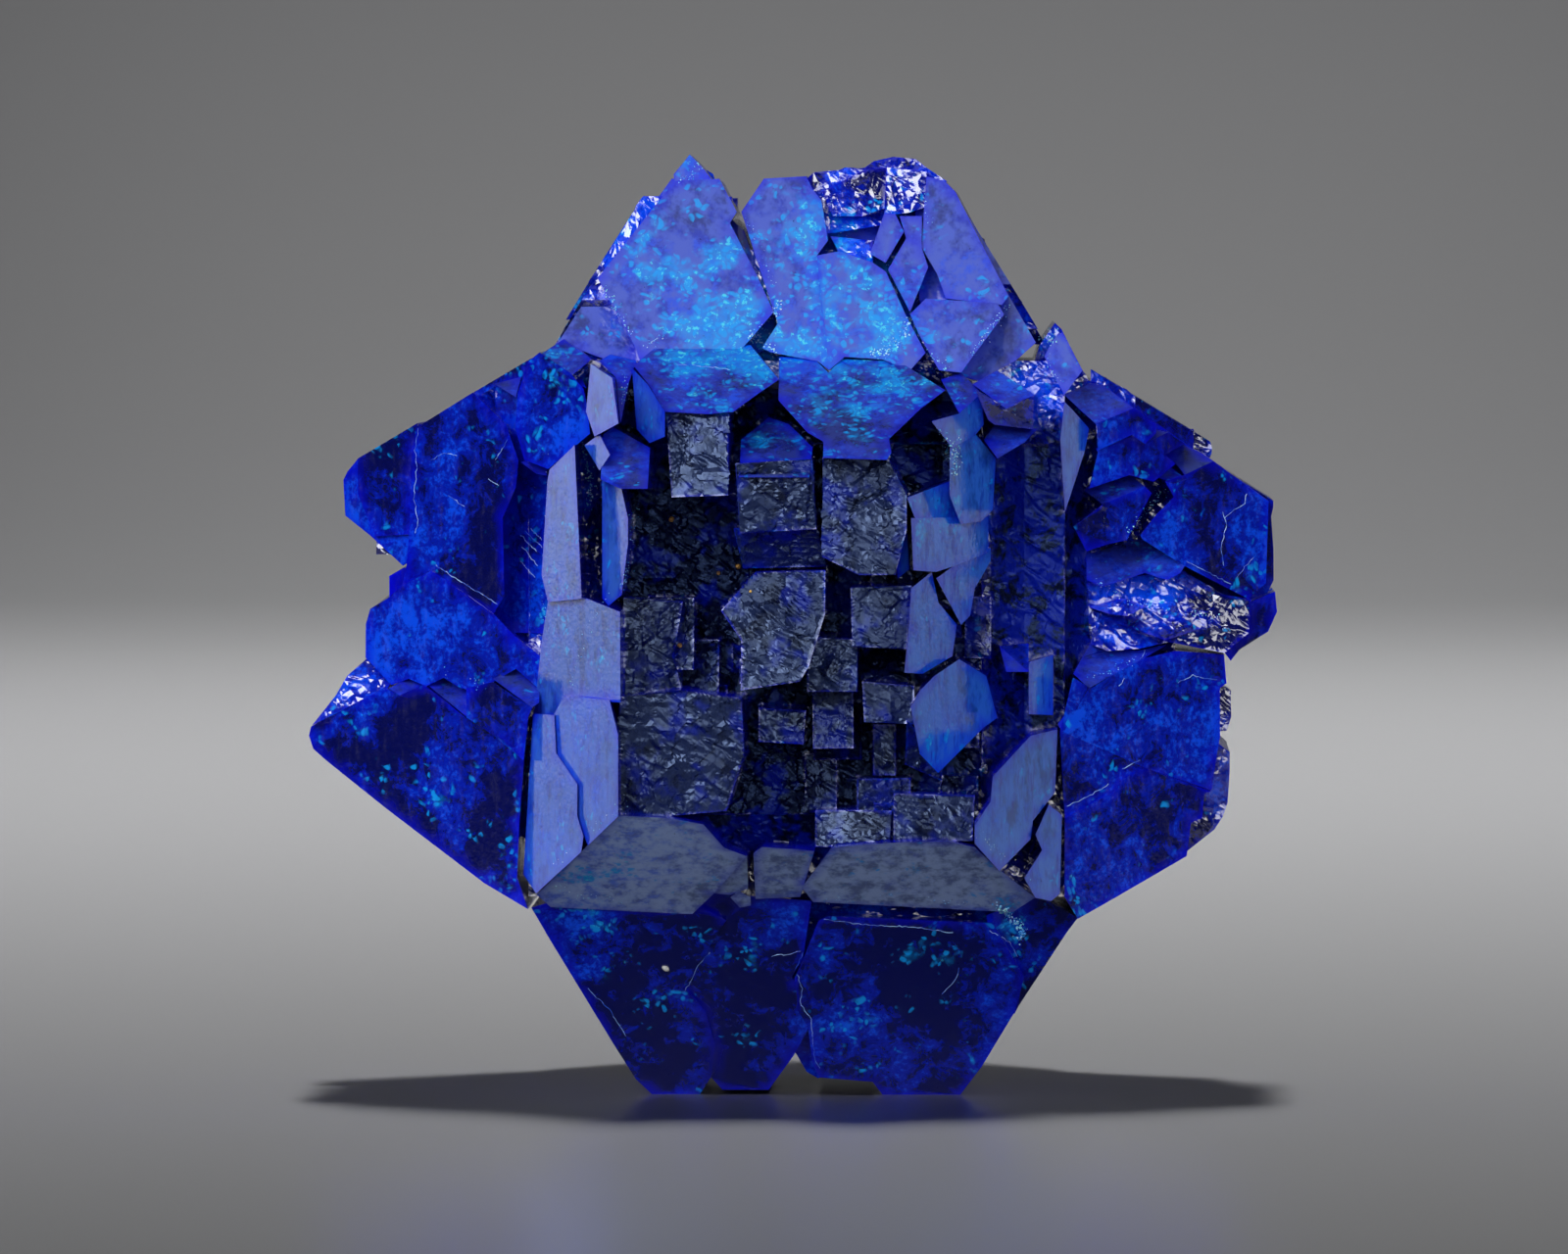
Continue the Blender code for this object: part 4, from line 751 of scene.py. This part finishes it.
def area_light(name, place, target, size, power, colour=(1, 1, 1)):
    data = bpy.data.lights.new(name, "AREA")
    data.shape = "RECTANGLE"
    data.size, data.size_y = size
    data.energy = power
    data.color = colour
    light = bpy.data.objects.new(name, data)
    bpy.context.scene.collection.objects.link(light)
    light.location = place
    light.rotation_mode = "QUATERNION"
    light.rotation_quaternion = (Vector(place) - Vector(target)).to_track_quat("Z", "Y")
    return light


def spot_light(name, place, target, power, cone, squeeze):
    """A spot whose pool of light is squeezed sideways."""
    data = bpy.data.lights.new(name, "SPOT")
    data.energy = power
    data.spot_size = math.radians(cone)
    data.spot_blend = 1.0
    data.shadow_soft_size = 0.12
    light = bpy.data.objects.new(name, data)
    bpy.context.scene.collection.objects.link(light)
    light.location = place
    light.rotation_mode = "QUATERNION"
    light.rotation_quaternion = (Vector(place) - Vector(target)).to_track_quat("Z", "Y")
    light.scale = (squeeze, 1, 1)
    return light


def softbox(name, direction, distance, size, power, colour=(1, 1, 1)):
    """A soft light seen from the star in one direction."""
    place = STAR_CENTRE + Vector(direction).normalized() * distance
    return area_light(name, place, STAR_CENTRE, size, power, colour)


def studio_light(floor):
    """Soft boxes around the star. Flags keep the front ones off the floor, as on a real product table."""
    shaded = bpy.data.collections.new("shaded_by_flags")
    shaded.objects.link(floor)
    shaded.collection_objects[0].light_linking.link_state = "EXCLUDE"
    key = softbox("key", (-0.45, -0.75, 0.49), 0.50, (0.34, 0.34), 2.6, (0.97, 0.98, 1.0))
    fill = softbox("front_fill", (0.10, -1.0, 0.02), 0.55, (0.30, 0.30), 0.95)
    right_front = softbox("right_front", (0.62, -0.70, 0.36), 0.50, (0.22, 0.22), 0.6)
    overhead = area_light("overhead", (0, -0.12, 0.42), (0, -0.12, 0.01), (0.26, 0.40), 0.07)
    for light in (key, fill, right_front, overhead):
        light.light_linking.receiver_collection = shaded
    lit_behind = bpy.data.collections.new("lit_from_behind")
    lit_behind.objects.link(floor)
    softbox("left_rear", (-0.891, 0.455, 0.02), 0.42, (0.26, 0.30), 0.24)
    softbox("right_rear", (0.891, 0.455, 0.02), 0.42, (0.26, 0.30), 0.10)
    glows = (
        spot_light("floor_glow", (0, 0.24, 0.60), (0, 0.19, 0), 84.0, 56, 0.14),
        spot_light("wall_glow", (0, 0.10, 0.50), (0, 0.52, 0.01), 18.0, 38, 0.4),
    )
    for light in glows:
        light.light_linking.receiver_collection = lit_behind
    world = bpy.data.worlds.new("studio")
    bpy.context.scene.world = world
    world.use_nodes = True
    tree = world.node_tree
    direction = add(tree, "ShaderNodeTexCoord").outputs["Generated"]
    parts = add(tree, "ShaderNodeSeparateXYZ")
    tree.links.new(direction, parts.inputs[0])
    behind = ranged(tree, parts.outputs["Y"], -0.30, 0.45, 0.014, 0.06)
    tree.links.new(behind, tree.nodes["Background"].inputs["Strength"])
    tree.nodes["Background"].inputs["Color"].default_value = (0.95, 0.97, 1.0, 1)


def camera():
    data = bpy.data.cameras.new("camera")
    view = bpy.data.objects.new("camera", data)
    bpy.context.scene.collection.objects.link(view)
    bpy.context.scene.camera = view
    data.sensor_width = SENSOR
    data.lens = SENSOR * VIEW_DISTANCE / VIEW_WIDTH
    data.clip_start, data.clip_end = 0.01, 10
    back = Vector((
        math.sin(VIEW_AZIMUTH) * math.cos(VIEW_ELEVATION),
        -math.cos(VIEW_AZIMUTH) * math.cos(VIEW_ELEVATION),
        math.sin(VIEW_ELEVATION),
    ))
    turn = back.to_track_quat("Z", "Y")
    aim = STAR_CENTRE + turn @ Vector((VIEW_SHIFT_RIGHT, VIEW_SHIFT_UP, 0))
    view.rotation_mode = "QUATERNION"
    view.rotation_quaternion = turn
    view.location = aim + back * VIEW_DISTANCE


camera()
studio_light(backdrop())
bpy.context.scene.view_settings.view_transform = "Standard"

cumengeite = cumengeite_material()
star = refined_star()
star.data.materials.append(cumengeite)
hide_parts("cumengeite_star")
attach(star, "root")

land = front_surface(star)
for piece, material in (
    (crack_lines(land), crack_material()),
    (crumb_heaps(land), crumb_material()),
    (lint_flecks(land), fibre_material()),
    (dust_grains(land), ochre_material()),
):
    piece.data.materials.append(material)
    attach(piece, "root")
